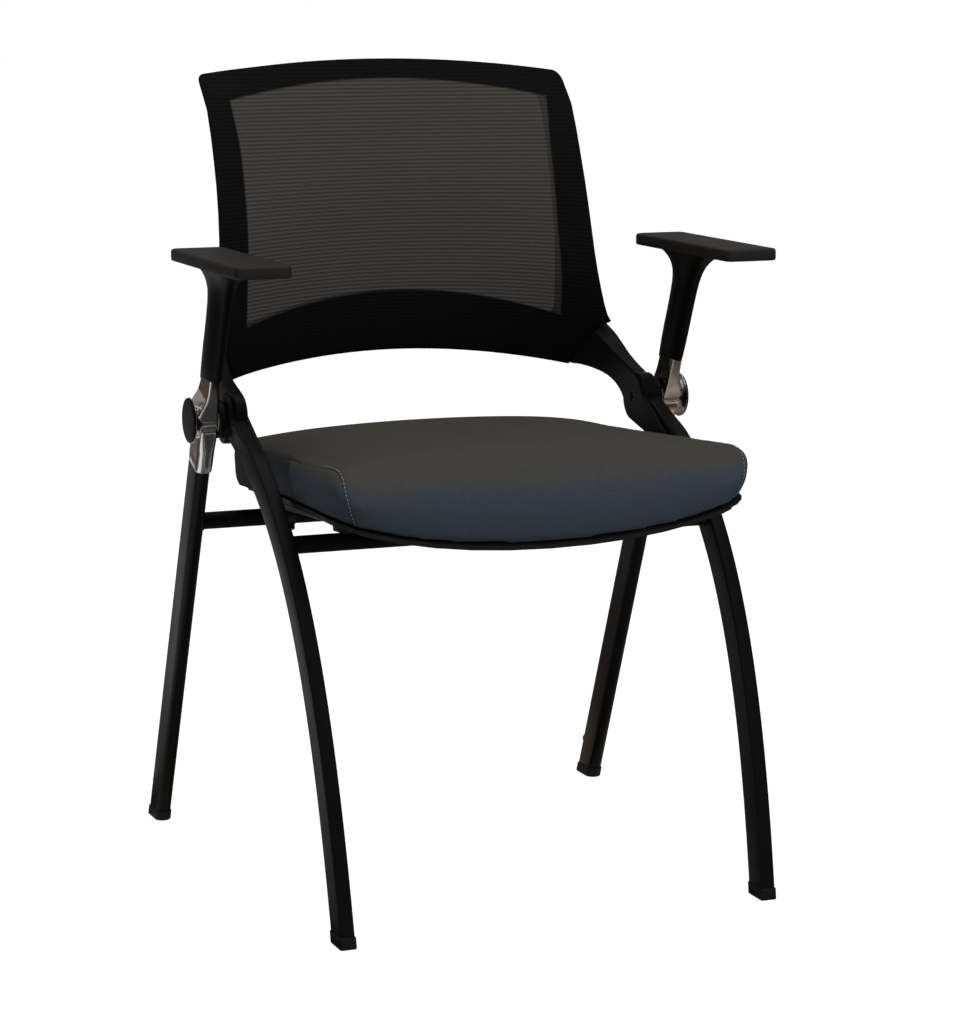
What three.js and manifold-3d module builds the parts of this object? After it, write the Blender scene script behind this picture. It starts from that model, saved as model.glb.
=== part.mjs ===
// Nesting chair with arms: a folding front frame that carries the back, a rear frame that
// carries the arms, and a seat that flips up. Millimetres, +Z up, the sitter faces -Y, and the
// origin lies on the floor under the middle of the chair.
import * as THREE from 'three';
import { mergeVertices } from 'three/addons/utils/BufferGeometryUtils.js';
import Module from 'manifold-3d';

const wasm = await Module();
wasm.setup();

const degree = Math.PI / 180;

// Driving dimensions of the whole chair
const stanceDepth = 583;
const pivotHeight = 492;
const rearLean = 23 * degree;
const rearLegSpacing = 542;
const toeIn = 10;
const clearance = 0.3;
const runningGap = 0.6;
const overrun = 80;

// Tube that all four legs are cut from
const legWidth = 16;
const legDepth = 35;
const tubeWall = 2;
const tubeEdgeRadius = 1.6;
const noseSteps = 6;
const legSteps = 22;

// Bend of the front leg: how far each end keeps its own direction
const hipDip = 17.1 * degree;
const hipReach = 213.6;
const shinTilt = 10.8 * degree;
const shinReach = 262.4;

// Glides under the legs
const glideWall = 1.3;
const glideHeight = 12;
const soleThickness = 4;
const bumperRadius = 6;
const bumperProud = 7;
const bumperHeight = 35;

// Cross tubes
const crossbarRadius = 9.5;
const crossbarWall = 1.5;
const frontBarDrop = 109;
const rearBarDrop = 119;

// Pivot joint
const roundSteps = 30;
const smallSteps = 18;
const castingWall = 1.6;
const socketLength = 57;
const socketDepth = 34;
const neckWidth = 14;
const neckDepth = 32;
const neckLength = 74;
const neckShift = 1.5;
const cornerRadius = 2.6;
const cornerSteps = 3;
const hubRadius = 17;
const hubRimRadius = 25;
const hubProud = 4;
const hubRimWidth = 0.9;
const ledgeDrop = 3;
const hubFlare = [[0, 0], [0.35, 0.06], [0.6, 0.2], [0.82, 0.5], [0.94, 0.85], [1, 1]];
const capRadius = 24.3;
const capThickness = 3.2;
const capEdge = 1.2;
const capRecessRadius = 14.4;
const capRecessDepth = 4.5;
const capSpigotWall = 2.6;
const axleRadius = 6;
const axleHeadRadius = 11;
const axleHeadThickness = 2.6;
const bushWall = 1.9;
const bushGap = 0.2;
const washerThickness = 1.2;
const knuckleRadius = 27;
const bossRadius = 20.5;
const bossLength = 7.1;
const spigotGap = 0.9;
const spigotLength = 30;
const spigotReach = 24;

// Screw that holds each back arm on its knuckle
const screwHeadRadius = 7.4;
const screwHeadThickness = 2.8;
const screwRadius = 3;
const screwLength = 15;
const socketRadius = 3;
const socketSink = 1.8;
const threadGap = 0.25;

// Arm posts and pads
const postFootRise = 44;
const postWidth = 21.4;
const postDepth = 42.4;
const postSideSteps = 24;
const padTopRise = 183;
const padThickness = 12;
const padWidth = 56;
const padLength = 226;
const padSetback = 30;
const padOffset = 2.5;
const padCornerRadius = 9;
const padEdge = 2.6;
const padCrown = 1.2;

// Back: rises above the pivot, plan curve and side curve of the mesh
const backTopRise = 376;
const backCornerRise = 360;
const backCornerHalf = 213;
const backHalfWidth = 220;
const backShoulderRise = 350;
const flareHalf = 240;
const flareRise = 78;
const bandBottomRise = 46;
const bandCornerHalf = 204;
const bandCornerRise = 25;
const seamBowHalf = 213;
const seamBowRise = 62;
const lumbarRise = 148;
const lumbarSetback = 106.5;
const backRadius = 327;
const backSagLow = 38;
const backSagHigh = 16;
const windowHalfWidth = 188;
const windowTopRise = 354.5;
const windowShoulderRise = 335;
const windowBottomRise = 115.5;
const windowFootRise = 86;
const windowCornerRadius = 7;
const meshThickness = 1.2;
const curveSteps = 6;

// Section of the back's ring: share of the way from outline to window, and depth behind the face
const ringSection = [
  [0, 3.6], [0.04, 1.2], [0.15, 0], [0.6, 0], [0.96, 0],
  [1, 3], [1, 17], [0.94, 20], [0.34, 20], [0.12, 13],
];
const meshSectionShares = [0.05, 0.15, 0.6, 0.96];
const meshWindowShares = [0.8, 0.5];

// Back arms, in stations along the arm from the pivot: run, then lower and upper edge,
// then inner and outer face at the lower edge and at the upper edge
const armSlope = 39 * degree;
const armStations = [
  [4, -21, 26, 230.8, 246.6, 230.8, 246.6],
  [14, -22, 23.5, 230.8, 246.6, 230.8, 246.6],
  [32, -22.5, 16.4, 229.6, 246.4, 230.8, 246.8],
  [48, -28.5, 12.4, 227, 244.6, 230, 246.2],
  [64, -35.5, 11, 222.6, 241, 228, 245.2],
  [82, -41.5, 11.5, 215.6, 236, 224.6, 243.4],
  [98, -48, 13, 209, 230.4, 220.4, 241],
  [112, -55, 14, 203.4, 224, 215, 238],
  [130, -50, 13, 198, 216, 205, 229],
];
const plateThickness = 5.4;
const plateRadius = 26.5;
const armEdgeShare = 0.16;
const tongueLength = 96;
const tongueTipHalf = 7;
const screwRecessRadius = 8.6;
const screwRecessDepth = 3.4;

// Seat
const seatFront = 378;
const seatRear = 58;
const seatLegGap = 5.5;
const seatWaistDraw = 17;
const seatRearDraw = 26;
const seatCornerWidth = 35;
const seatCornerLength = 48;
const seatSideLength = 105;
const seatWaistLength = 85;
const seatRearRadius = 48;
const seatFrontBow = 2.5;
const seatRearBow = 6;
const seatCurveSteps = 5;
const railWidth = 24;
const railThickness = 5;
const railInset = 61;
const railOverhang = 16;
const landingStart = 22;
const panThickness = 4.5;
const hemSideInset = 3;
const hemFrontInset = 12;
const hemCornerInset = 4;
const landingSink = 1.5;
const panSideRise = 9.5;
const panRearRise = 18;
const panFrontDrop = 29;
const panFrontRun = 120;
const panDropReach = 9;
const cushionEdgeHeight = 73;
const cushionCrown = 15;
const cushionSideRoll = 15;
const cushionFrontRoll = 40;
const hemLift = 8;
const padSteps = 48;
const sleeveWall = 1.4;
const restPadWidth = 26;
const restPadLength = 34;
const restPadHeight = 7;
const seatScrewRadius = 2.5;
const seatScrewHeadRadius = 5.2;
const seatScrewHeadThickness = 2.6;
const seatScrewBite = 4.6;

// Places that follow from the driving dimensions
const frontBarHeight = pivotHeight - frontBarDrop;
const rearBarHeight = pivotHeight - rearBarDrop;
const backTop = pivotHeight + backTopRise;
const backCornerTop = pivotHeight + backCornerRise;
const backShoulder = pivotHeight + backShoulderRise;
const flareHeight = pivotHeight + flareRise;
const bandBottom = pivotHeight + bandBottomRise;
const bandCornerHeight = pivotHeight + bandCornerRise;
const seamBowHeight = pivotHeight + seamBowRise;
const lumbarHeight = pivotHeight + lumbarRise;
const windowTop = pivotHeight + windowTopRise;
const windowShoulder = pivotHeight + windowShoulderRise;
const windowBottom = pivotHeight + windowBottomRise;
const windowFoot = pivotHeight + windowFootRise;
const rearX = rearLegSpacing / 2;
const castingHalf = legWidth / 2 + castingWall;
const castingInnerX = rearX - castingHalf;
const washerOuterX = castingInnerX - clearance;
const washerInnerX = washerOuterX - washerThickness;
const bossOuterX = washerInnerX - clearance;
const frontX = bossOuterX - bossLength - legWidth / 2;
const glideHalfDepth = legDepth / 2 + glideWall;
const pivotY = stanceDepth / 2 - glideHalfDepth / Math.cos(rearLean) - pivotHeight * Math.tan(rearLean);
const frontFootY = -stanceDepth / 2 + glideHalfDepth / Math.cos(shinTilt);
const pivot = new THREE.Vector3(0, pivotY, pivotHeight);
const rearFoot = new THREE.Vector3(0, pivotY + pivotHeight * Math.tan(rearLean), 0);
const frontFoot = new THREE.Vector3(0, frontFootY, 0);
const rearLine = new THREE.LineCurve3(pivot, rearFoot);
const frontCurve = new THREE.CubicBezierCurve3(
  pivot,
  new THREE.Vector3(0, pivotY - hipReach * Math.cos(hipDip), pivotHeight - hipReach * Math.sin(hipDip)),
  new THREE.Vector3(0, frontFootY + shinReach * Math.sin(shinTilt), shinReach * Math.cos(shinTilt)),
  frontFoot,
);
const legInnerX = frontX - legWidth / 2;
const legOuterX = frontX + legWidth / 2;
const seatFrontHalf = legInnerX - seatLegGap;
const seatWaistHalf = seatFrontHalf - seatWaistDraw;
const seatRearHalf = seatFrontHalf - seatRearDraw;
const railOffset = seatFrontHalf - railInset;
const panDropHalf = seatFrontHalf + panDropReach;

// Materials
const satinBlack = { color: 0x26262a, roughness: 0.42, metalness: 0.35 };
const blackPlastic = { color: 0x2c2c2f, roughness: 0.55, metalness: 0 };
const softPad = { color: 0x343230, roughness: 0.8, metalness: 0 };
const polishedCasting = { color: 0xc9c9cc, roughness: 0.12, metalness: 1 };
const zincSteel = { color: 0x9d9588, roughness: 0.4, metalness: 0.9 };
const nylon = { color: 0xe2e0d8, roughness: 0.5, metalness: 0 };
const rubber = { color: 0x1b1b1c, roughness: 0.9, metalness: 0 };
const knitMesh = { color: 0x3a3733, roughness: 0.9, metalness: 0 };
const seatCloth = { color: 0x5c6068, roughness: 0.95, metalness: 0 };

// Makes a closed solid of a geometry whose faces meet at shared places.
function solidOf(geometry) {
  const plain = geometry.clone();
  plain.deleteAttribute('normal');
  plain.deleteAttribute('uv');
  const merged = mergeVertices(plain, 1e-4);
  return new wasm.Manifold(new wasm.Mesh({
    numProp: 3,
    vertProperties: new Float32Array(merged.attributes.position.array),
    triVerts: new Uint32Array(merged.index.array),
  }));
}

// Gives a solid's triangles back as a geometry with normals.
function geometryOf(solid) {
  const mesh = solid.getMesh();
  const geometry = new THREE.BufferGeometry();
  geometry.setAttribute('position', new THREE.BufferAttribute(mesh.vertProperties, 3));
  geometry.setIndex(new THREE.BufferAttribute(mesh.triVerts, 1));
  geometry.computeVertexNormals();
  return geometry;
}

// Turns the faces of an indexed geometry outward if its volume comes out negative.
function faceOutward(geometry) {
  const place = geometry.attributes.position;
  const index = geometry.index;
  const a = new THREE.Vector3();
  const b = new THREE.Vector3();
  const c = new THREE.Vector3();
  let volume = 0;
  for (let i = 0; i < index.count; i += 3) {
    a.fromBufferAttribute(place, index.getX(i));
    b.fromBufferAttribute(place, index.getX(i + 1));
    c.fromBufferAttribute(place, index.getX(i + 2));
    volume += a.dot(b.cross(c));
  }
  if (volume < 0) {
    for (let i = 0; i < index.count; i += 3) {
      const first = index.getX(i);
      index.setX(i, index.getX(i + 1));
      index.setX(i + 1, first);
    }
  }
  geometry.computeVertexNormals();
  return geometry;
}

function middleOf(ring) {
  return ring.reduce((sum, p) => sum.add(p), new THREE.Vector3()).divideScalar(ring.length);
}

// Skins rings of equal point counts one after another and closes both ends to a point.
function loft(rings, startPoint = middleOf(rings[0]), endPoint = middleOf(rings[rings.length - 1])) {
  const count = rings[0].length;
  const points = [startPoint, endPoint, ...rings.flat()];
  const faces = [];
  const at = (ring, i) => 2 + ring * count + (i % count);
  const last = rings.length - 1;
  for (let i = 0; i < count; i += 1) {
    faces.push(0, at(0, i + 1), at(0, i));
    faces.push(1, at(last, i), at(last, i + 1));
    for (let ring = 0; ring < last; ring += 1) {
      faces.push(at(ring, i), at(ring, i + 1), at(ring + 1, i));
      faces.push(at(ring, i + 1), at(ring + 1, i + 1), at(ring + 1, i));
    }
  }
  const geometry = new THREE.BufferGeometry().setFromPoints(points);
  geometry.setIndex(faces);
  return faceOutward(geometry);
}

// Moves every corner of a geometry by a rule.
function reshape(geometry, rule) {
  const plain = geometry.clone();
  plain.deleteAttribute('normal');
  plain.deleteAttribute('uv');
  const merged = mergeVertices(plain, 1e-4);
  const place = merged.attributes.position;
  const p = new THREE.Vector3();
  for (let i = 0; i < place.count; i += 1) {
    rule(p.fromBufferAttribute(place, i));
    place.setXYZ(i, p.x, p.y, p.z);
  }
  return faceOutward(merged);
}

// The same piece for the other side of the chair.
function mirrored(geometry) {
  return reshape(geometry, (p) => p.setX(-p.x));
}

// A turned piece whose axis lies along X: profile points are [radius, x].
function turned(profile, y, z, steps = roundSteps) {
  const lathe = new THREE.LatheGeometry(profile.map(([r, x]) => new THREE.Vector2(r, x)), steps);
  lathe.rotateZ(-Math.PI / 2);
  lathe.translate(0, y, z);
  return reshape(lathe, () => {});
}

function rod(radius, x0, x1, y, z, steps = roundSteps) {
  return turned([[0, x0], [radius, x0], [radius, x1], [0, x1]], y, z, steps);
}

function boxBetween(x0, x1, y0, y1, z0, z1) {
  const box = new THREE.BoxGeometry(x1 - x0, y1 - y0, z1 - z0);
  box.translate((x0 + x1) / 2, (y0 + y1) / 2, (z0 + z1) / 2);
  return box;
}

const chair = new THREE.Group();
chair.name = 'nesting_chair';

function place(name, shape, finish) {
  const geometry = shape.isBufferGeometry ? shape : geometryOf(shape);
  const mesh = new THREE.Mesh(geometry, new THREE.MeshStandardMaterial(finish));
  mesh.name = name;
  chair.add(mesh);
  return mesh;
}

// Places a piece on the sitter's left (+X) and its mirror image on the right.
function placePair(name, shape, finish) {
  const geometry = shape.isBufferGeometry ? shape : geometryOf(shape);
  place(`${name}_l`, geometry, finish);
  place(`${name}_r`, mirrored(geometry), finish);
}

// Section of the leg tube: a half-round nose on one narrow side and a flat on the other.
function tubeSection(grow, noseToFront) {
  const half = legWidth / 2 + grow;
  const deep = legDepth / 2 + grow;
  const edge = Math.max(tubeEdgeRadius + grow, tubeEdgeRadius / 2);
  const points = [];
  for (let i = 0; i <= noseSteps; i += 1) {
    const angle = Math.PI * i / noseSteps;
    points.push([half * Math.cos(angle), deep - half + half * Math.sin(angle)]);
  }
  points.push([-half, -deep + edge], [-half + edge, -deep], [half - edge, -deep], [half, -deep + edge]);
  return noseToFront ? points : points.map(([u, v]) => [u, -v]);
}

// Sideways place of the front leg at a height: it leans in towards the floor.
function frontLegX(z) {
  return frontX - toeIn * (1 - z / pivotHeight);
}

// Rings of a section carried along a leg curve, the last one cut level at a height.
function legRings(curve, section, from, to, steps, landHeight, sideways) {
  const rings = [];
  for (let i = 0; i <= steps; i += 1) {
    const share = from + (to - from) * i / steps;
    const centre = curve.getPointAt(share);
    const along = curve.getTangentAt(share);
    const front = new THREE.Vector3(0, along.z, -along.y);
    rings.push(section.map(([u, v]) => {
      const p = centre.clone().addScaledVector(front, v);
      if (i === steps && landHeight !== null) {
        p.addScaledVector(along, (landHeight - p.z) / along.z);
      }
      p.x = sideways(p.z) + u;
      return p;
    }));
  }
  return rings;
}

const rearSideways = () => rearX;
const rearLegStartShare = socketDepth / (pivotHeight / Math.cos(rearLean));

function rearLegLoft(grow, landHeight, from = rearLegStartShare, steps = 1) {
  return loft(legRings(rearLine, tubeSection(grow, true), from, 1, steps, landHeight, rearSideways));
}

function frontLegLoft(grow, landHeight, from = 0, steps = legSteps) {
  return loft(legRings(frontCurve, tubeSection(grow, false), from, 1, steps, landHeight, frontLegX));
}

// Open tube: the outer loft less a longer inner one.
const rearLeg = solidOf(rearLegLoft(0, soleThickness))
  .subtract(solidOf(rearLegLoft(-tubeWall, -overrun, 0)));
placePair('rear_leg', rearLeg, satinBlack);

const knuckleBody = rod(knuckleRadius + clearance, 0, rearX, pivotY, pivotHeight);
const frontLeg = solidOf(frontLegLoft(0, soleThickness))
  .subtract(solidOf(frontLegLoft(-tubeWall, -overrun)))
  .subtract(solidOf(knuckleBody));
placePair('front_leg', frontLeg, satinBlack);

// A glide is a cup round the tube's end with a plug inside it, flat on the floor.
function glide(outer, tubeEnd, plug) {
  const lower = boxBetween(0, rearX + overrun, -stanceDepth, stanceDepth, -overrun * 2, 0);
  const upper = boxBetween(0, rearX + overrun, -stanceDepth, stanceDepth, glideHeight, pivotHeight * 2);
  return solidOf(outer).subtract(solidOf(tubeEnd)).add(solidOf(plug))
    .subtract(solidOf(upper)).subtract(solidOf(lower));
}

const glideShare = 1 - overrun / pivotHeight;
const frontGlideShare = 1 - 1 / legSteps;
placePair('rear_foot', glide(
  rearLegLoft(glideWall, -overrun, glideShare),
  rearLegLoft(clearance, soleThickness - clearance, glideShare),
  rearLegLoft(-tubeWall - clearance, -overrun, glideShare),
), rubber);
placePair('front_foot', glide(
  frontLegLoft(glideWall, -glideHeight, frontGlideShare, 1),
  frontLegLoft(clearance, soleThickness - clearance, frontGlideShare, 1),
  frontLegLoft(-tubeWall - clearance, -glideHeight, frontGlideShare, 1),
), rubber);

// Stud on the flat back of each rear leg that meets the next chair's front leg.
const rearLegUp = new THREE.Vector3(0, -Math.sin(rearLean), Math.cos(rearLean));
const rearLegBack = new THREE.Vector3(0, Math.cos(rearLean), Math.sin(rearLean));
const bumper = new THREE.LatheGeometry([
  [0, clearance],
  [bumperRadius, clearance],
  [bumperRadius, bumperProud - capEdge],
  [bumperRadius - capEdge, bumperProud],
  [0, bumperProud],
].map(([r, h]) => new THREE.Vector2(r, h)), noseSteps * 2);
bumper.rotateX(rearLean);
const bumperSeat = rearLine.getPointAt(1 - bumperHeight / pivotHeight)
  .addScaledVector(rearLegBack, legDepth / 2);
bumper.translate(rearX, bumperSeat.y, bumperSeat.z);
placePair('nest_bumper', reshape(bumper, () => {}), rubber);

// Cross tubes, open right through.
function crossbar(halfLength, y, z) {
  const outer = rod(crossbarRadius, -halfLength, halfLength, y, z);
  const bore = rod(crossbarRadius - crossbarWall, -halfLength - overrun, halfLength + overrun, y, z);
  return solidOf(outer).subtract(solidOf(bore));
}

const rearBarY = pivotY + (pivotHeight - rearBarHeight) * Math.tan(rearLean);
place('rear_crossbar', crossbar(rearX - legWidth / 2 - clearance, rearBarY, rearBarHeight), satinBlack);

// Height along the front leg falls steadily, so its place at a height is found by halving.
function frontLegY(height) {
  let low = 0;
  let high = 1;
  for (let i = 0; i < 40; i += 1) {
    const middle = (low + high) / 2;
    if (frontCurve.getPointAt(middle).z > height) {
      low = middle;
    } else {
      high = middle;
    }
  }
  return frontCurve.getPointAt(low).y;
}

const frontBarY = frontLegY(frontBarHeight);
const frontBarHalf = frontLegX(frontBarHeight - crossbarRadius) - legWidth / 2 - clearance;
place('front_crossbar', crossbar(frontBarHalf, frontBarY, frontBarHeight), satinBlack);

// Pivot casting: a socket over the rear leg, a hub on the pivot line and a neck for the post.
const castingDeep = legDepth / 2 + castingWall + runningGap;

// A ring of the casting at a height along the leg, with round corners at its front and rear.
function castingRing(height, outer, inner, front, rear, nose = cornerRadius, heel = cornerRadius) {
  const ring = [];
  [[outer, front, nose, 0], [-inner, front, nose, 1], [-inner, -rear, heel, 2], [outer, -rear, heel, 3]]
    .forEach(([u, v, radius, quarter]) => {
      const cu = u - Math.sign(u) * radius;
      const cv = v - Math.sign(v) * radius;
      for (let i = 0; i <= cornerSteps; i += 1) {
        const angle = (quarter + i / cornerSteps) * Math.PI / 2;
        ring.push(pivot.clone()
          .addScaledVector(rearLegUp, height)
          .addScaledVector(rearLegBack, -cv - radius * Math.sin(angle))
          .add(new THREE.Vector3(rearX + cu + radius * Math.cos(angle), 0, 0)));
      }
    });
  return ring;
}

const neckHalf = neckWidth / 2;
const neckDeep = neckDepth / 2;
const neckOuter = neckHalf - neckShift;
const neckInner = neckHalf + neckShift;
const postFoot = pivotHeight + postFootRise;
const padTop = pivotHeight + padTopRise;
const castingNose = castingHalf - castingWall;
const faceLow = castingHalf + hubProud - castingWall;
const faceMiddle = castingHalf + hubProud / 3;
const castingBody = loft([
  castingRing(-socketLength, castingHalf, castingHalf, castingDeep, castingDeep, castingNose),
  castingRing(-socketLength / 2, castingHalf, castingHalf, castingDeep, castingDeep, castingNose),
  castingRing(-hubRadius - castingWall, castingHalf, castingHalf, castingDeep, castingDeep, cornerRadius * 2),
  castingRing(-ledgeDrop - castingWall, castingHalf, castingHalf, castingDeep, castingDeep),
  castingRing(-ledgeDrop, faceLow, castingHalf, neckDeep, castingDeep),
  castingRing(hubRadius * 0.4, faceLow, castingHalf, neckDeep, castingDeep),
  castingRing(hubRadius * 0.95, faceMiddle, castingHalf - castingWall / 2, neckDeep, castingDeep - castingWall),
  castingRing(hubRadius * 1.4, neckHalf + castingWall, castingHalf - castingWall, neckDeep, neckDeep + castingWall),
  castingRing(hubRadius * 1.85, neckHalf, neckInner, neckDeep, neckDeep + castingWall / 3),
  castingRing(hubRadius * 2.5, neckOuter, neckInner, neckDeep, neckDeep),
  castingRing(neckLength, neckOuter, neckInner, neckDeep, neckDeep),
]);
const hubOuterX = rearX + castingHalf + hubProud;
const flareStartX = rearX + castingHalf - castingWall * 2;
const flareRun = hubOuterX - hubRimWidth - flareStartX;
const hub = turned([
  [0, castingInnerX],
  [hubRadius, castingInnerX],
  ...hubFlare.map(([run, rise]) => [
    hubRadius + (hubRimRadius - hubRadius) * rise, flareStartX + flareRun * run,
  ]),
  [hubRimRadius, hubOuterX],
  [0, hubOuterX],
], pivotY, pivotHeight);
const bushRadius = axleRadius + bushGap + bushWall;
const axleBore = rod(bushRadius + bushGap, castingInnerX - overrun, hubOuterX + overrun, pivotY, pivotHeight);
const capRecess = rod(capRecessRadius, hubOuterX - capRecessDepth, hubOuterX + overrun, pivotY, pivotHeight);
const casting = solidOf(castingBody).add(solidOf(hub))
  .subtract(solidOf(axleBore))
  .subtract(solidOf(capRecess))
  .subtract(solidOf(rearLegLoft(clearance, -overrun, (socketDepth - clearance) / rearLine.getLength())));
placePair('joint_casting', casting, polishedCasting);

// Round cover on the outside of the hub, plugged into its recess.
const capInnerX = hubOuterX + clearance;
const capOuterX = capInnerX + capThickness;
const capPlugRadius = capRecessRadius - clearance;
placePair('pivot_cap', turned([
  [0, capInnerX],
  [capPlugRadius - capSpigotWall, capInnerX],
  [capPlugRadius - capSpigotWall, hubOuterX - capRecessDepth + clearance],
  [capPlugRadius, hubOuterX - capRecessDepth + clearance],
  [capPlugRadius, capInnerX],
  [capRadius, capInnerX],
  [capRadius, capOuterX - capEdge],
  [capRadius - capEdge, capOuterX],
  [0, capOuterX],
], pivotY, pivotHeight), blackPlastic);

// Bush in the hub, washer between hub and knuckle, and the axle that turns in them.
const axleHeadX = hubOuterX - capRecessDepth + clearance;
placePair('pivot_bush', turned([
  [axleRadius + bushGap, castingInnerX + clearance],
  [bushRadius, castingInnerX + clearance],
  [bushRadius, axleHeadX - clearance],
  [axleRadius + bushGap, axleHeadX - clearance],
  [axleRadius + bushGap, castingInnerX + clearance],
], pivotY, pivotHeight, smallSteps), nylon);
placePair('pivot_washer', turned([
  [axleRadius + bushGap, washerInnerX],
  [hubRadius - castingWall, washerInnerX],
  [hubRadius - castingWall, washerOuterX],
  [axleRadius + bushGap, washerOuterX],
  [axleRadius + bushGap, washerInnerX],
], pivotY, pivotHeight, smallSteps), nylon);
const screwTipX = legInnerX - clearance - plateThickness + screwRecessDepth + screwLength;
const axle = solidOf(turned([
  [0, legInnerX + clearance],
  [axleRadius, legInnerX + clearance],
  [axleRadius, axleHeadX],
  [axleHeadRadius, axleHeadX],
  [axleHeadRadius, axleHeadX + axleHeadThickness],
  [0, axleHeadX + axleHeadThickness],
], pivotY, pivotHeight, smallSteps))
  .subtract(solidOf(rod(screwRadius + threadGap, 0, screwTipX + clearance, pivotY, pivotHeight, smallSteps)));
placePair('pivot_axle', axle, zincSteel);

// Knuckle on the front leg: a disc on the pivot line with a boss outside and a spigot in the tube.
const knuckleDisc = turned([
  [0, legInnerX],
  [knuckleRadius - capEdge, legInnerX],
  [knuckleRadius, legInnerX + capEdge],
  [knuckleRadius, legOuterX - capEdge],
  [knuckleRadius - capEdge, legOuterX],
  [bossRadius, legOuterX],
  [bossRadius, bossOuterX],
  [0, bossOuterX],
], pivotY, pivotHeight);
const curveLength = frontCurve.getLength();
const spigot = loft(legRings(frontCurve, tubeSection(-tubeWall - spigotGap, false),
  (knuckleRadius - capEdge * 4) / curveLength, (spigotReach + spigotLength) / curveLength, 4, null, frontLegX));
const knuckle = solidOf(knuckleDisc).add(solidOf(spigot))
  .subtract(solidOf(rod(axleRadius + threadGap, 0, rearX, pivotY, pivotHeight)));
placePair('leg_knuckle', knuckle, satinBlack);

// Arm post: an oval column on the casting's neck that flares fore and aft under the pad.
const padBottom = padTop - padThickness;
const postTop = padBottom - clearance;
const postLevels = [
  { share: 0, front: 0, rear: 0, wide: 0.92 },
  { share: 0.3, front: 0, rear: 0, wide: 1 },
  { share: 0.55, front: 0, rear: 0, wide: 1.04 },
  { share: 0.7, front: 0.06, rear: 0.1, wide: 1.1 },
  { share: 0.8, front: 0.24, rear: 0.28, wide: 1.2 },
  { share: 0.87, front: 0.5, rear: 0.6, wide: 1.36 },
  { share: 0.93, front: 1, rear: 1.15, wide: 1.6 },
  { share: 0.97, front: 1.6, rear: 1.75, wide: 1.85 },
  { share: 1, front: 1.95, rear: 2.1, wide: 2 },
];
const postHalfDepth = postDepth / 2 / Math.cos(rearLean);

function postRing({ share, front, rear, wide }) {
  const z = postFoot + (postTop - postFoot) * share;
  const y = pivotY - (z - pivotHeight) * Math.tan(rearLean);
  const ring = [];
  for (let i = 0; i < postSideSteps; i += 1) {
    const angle = 2 * Math.PI * i / postSideSteps;
    const reach = postHalfDepth * (1 + (Math.sin(angle) < 0 ? front : rear));
    ring.push(new THREE.Vector3(
      rearX - neckShift + wide * postWidth / 2 * Math.cos(angle),
      y + reach * Math.sin(angle),
      z,
    ));
  }
  return ring;
}

function neckEnvelope(grow, top) {
  return loft([
    castingRing(0, neckOuter + grow, neckInner + grow, neckDeep + grow, neckDeep + grow),
    castingRing(top, neckOuter + grow, neckInner + grow, neckDeep + grow, neckDeep + grow),
  ]);
}

const armPost = solidOf(loft(postLevels.map(postRing)))
  .subtract(solidOf(neckEnvelope(clearance, neckLength + clearance)));
placePair('arm_post', armPost, blackPlastic);

// Arm pad: a slab with bowed sides, round corners, soft edges and a slight crown.
function padOutline(inset) {
  const half = padWidth / 2 - inset;
  const reach = padLength / 2 - inset;
  const radius = padCornerRadius - inset;
  const outline = new THREE.Shape();
  outline.moveTo(half, -reach + radius);
  outline.lineTo(half, reach - radius);
  outline.absarc(half - radius, reach - radius, radius, 0, Math.PI / 2);
  outline.lineTo(-half + radius, reach);
  outline.absarc(-half + radius, reach - radius, radius, Math.PI / 2, Math.PI);
  outline.lineTo(-half, -reach + radius);
  outline.absarc(-half + radius, -reach + radius, radius, Math.PI, Math.PI * 1.5);
  outline.lineTo(half - radius, -reach);
  outline.absarc(half - radius, -reach + radius, radius, Math.PI * 1.5, Math.PI * 2);
  return outline.getSpacedPoints(padSteps).slice(0, padSteps);
}

const padX = rearX + padOffset;

function padRing(inset, height) {
  return padOutline(inset).map((p) => new THREE.Vector3(padX + p.x, p.y - padSetback, height));
}

const padShoulder = padTop - padCrown;
const armPad = loft([
  padRing(padEdge, padBottom),
  padRing(0, padBottom + padEdge),
  padRing(0, padShoulder - padEdge),
  padRing(padEdge / 3, padShoulder - padEdge / 3),
  padRing(padEdge, padShoulder),
  padRing(padWidth / 4, padTop - padCrown / 3),
], undefined, new THREE.Vector3(padX, -padSetback, padTop));
placePair('arm_pad', armPad, softPad);

// Front face of the back's mesh: curved in side view, and hollow in plan, more so low down.
function backFace(x, z) {
  const rise = THREE.MathUtils.smoothstep(z, lumbarHeight, windowTop);
  const sag = backSagLow + (backSagHigh - backSagLow) * rise;
  const lean = (z - lumbarHeight) ** 2 / (2 * backRadius);
  return pivotY + lumbarSetback + lean + sag * (1 - (x / windowHalfWidth) ** 2);
}

// Adds the mirror image to half an outline that starts and ends on the mid-line.
function closeOutline(half) {
  const other = half.slice(1, -1).reverse().map((p) => new THREE.Vector2(-p.x, p.y));
  return [...half, ...other];
}

// Outline of the back seen from the front, X and Z, from the middle of the band to the top.
const backHalf = new THREE.Path();
backHalf.moveTo(0, bandBottom);
backHalf.quadraticCurveTo(bandCornerHalf / 2, bandBottom, bandCornerHalf, bandCornerHeight);
backHalf.quadraticCurveTo(seamBowHalf, seamBowHeight, flareHalf, flareHeight);
backHalf.bezierCurveTo(
  backHalfWidth + (flareHalf - backHalfWidth) * 0.25, flareHeight + (lumbarHeight - flareHeight) * 0.3,
  backHalfWidth, (lumbarHeight + backShoulder) / 2,
  backHalfWidth, backShoulder,
);
backHalf.quadraticCurveTo(backHalfWidth, backCornerTop, backCornerHalf, backCornerTop);
backHalf.quadraticCurveTo(backCornerHalf / 2, backTop, 0, backTop);
const backOutline = closeOutline(backHalf.getPoints(curveSteps));

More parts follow.
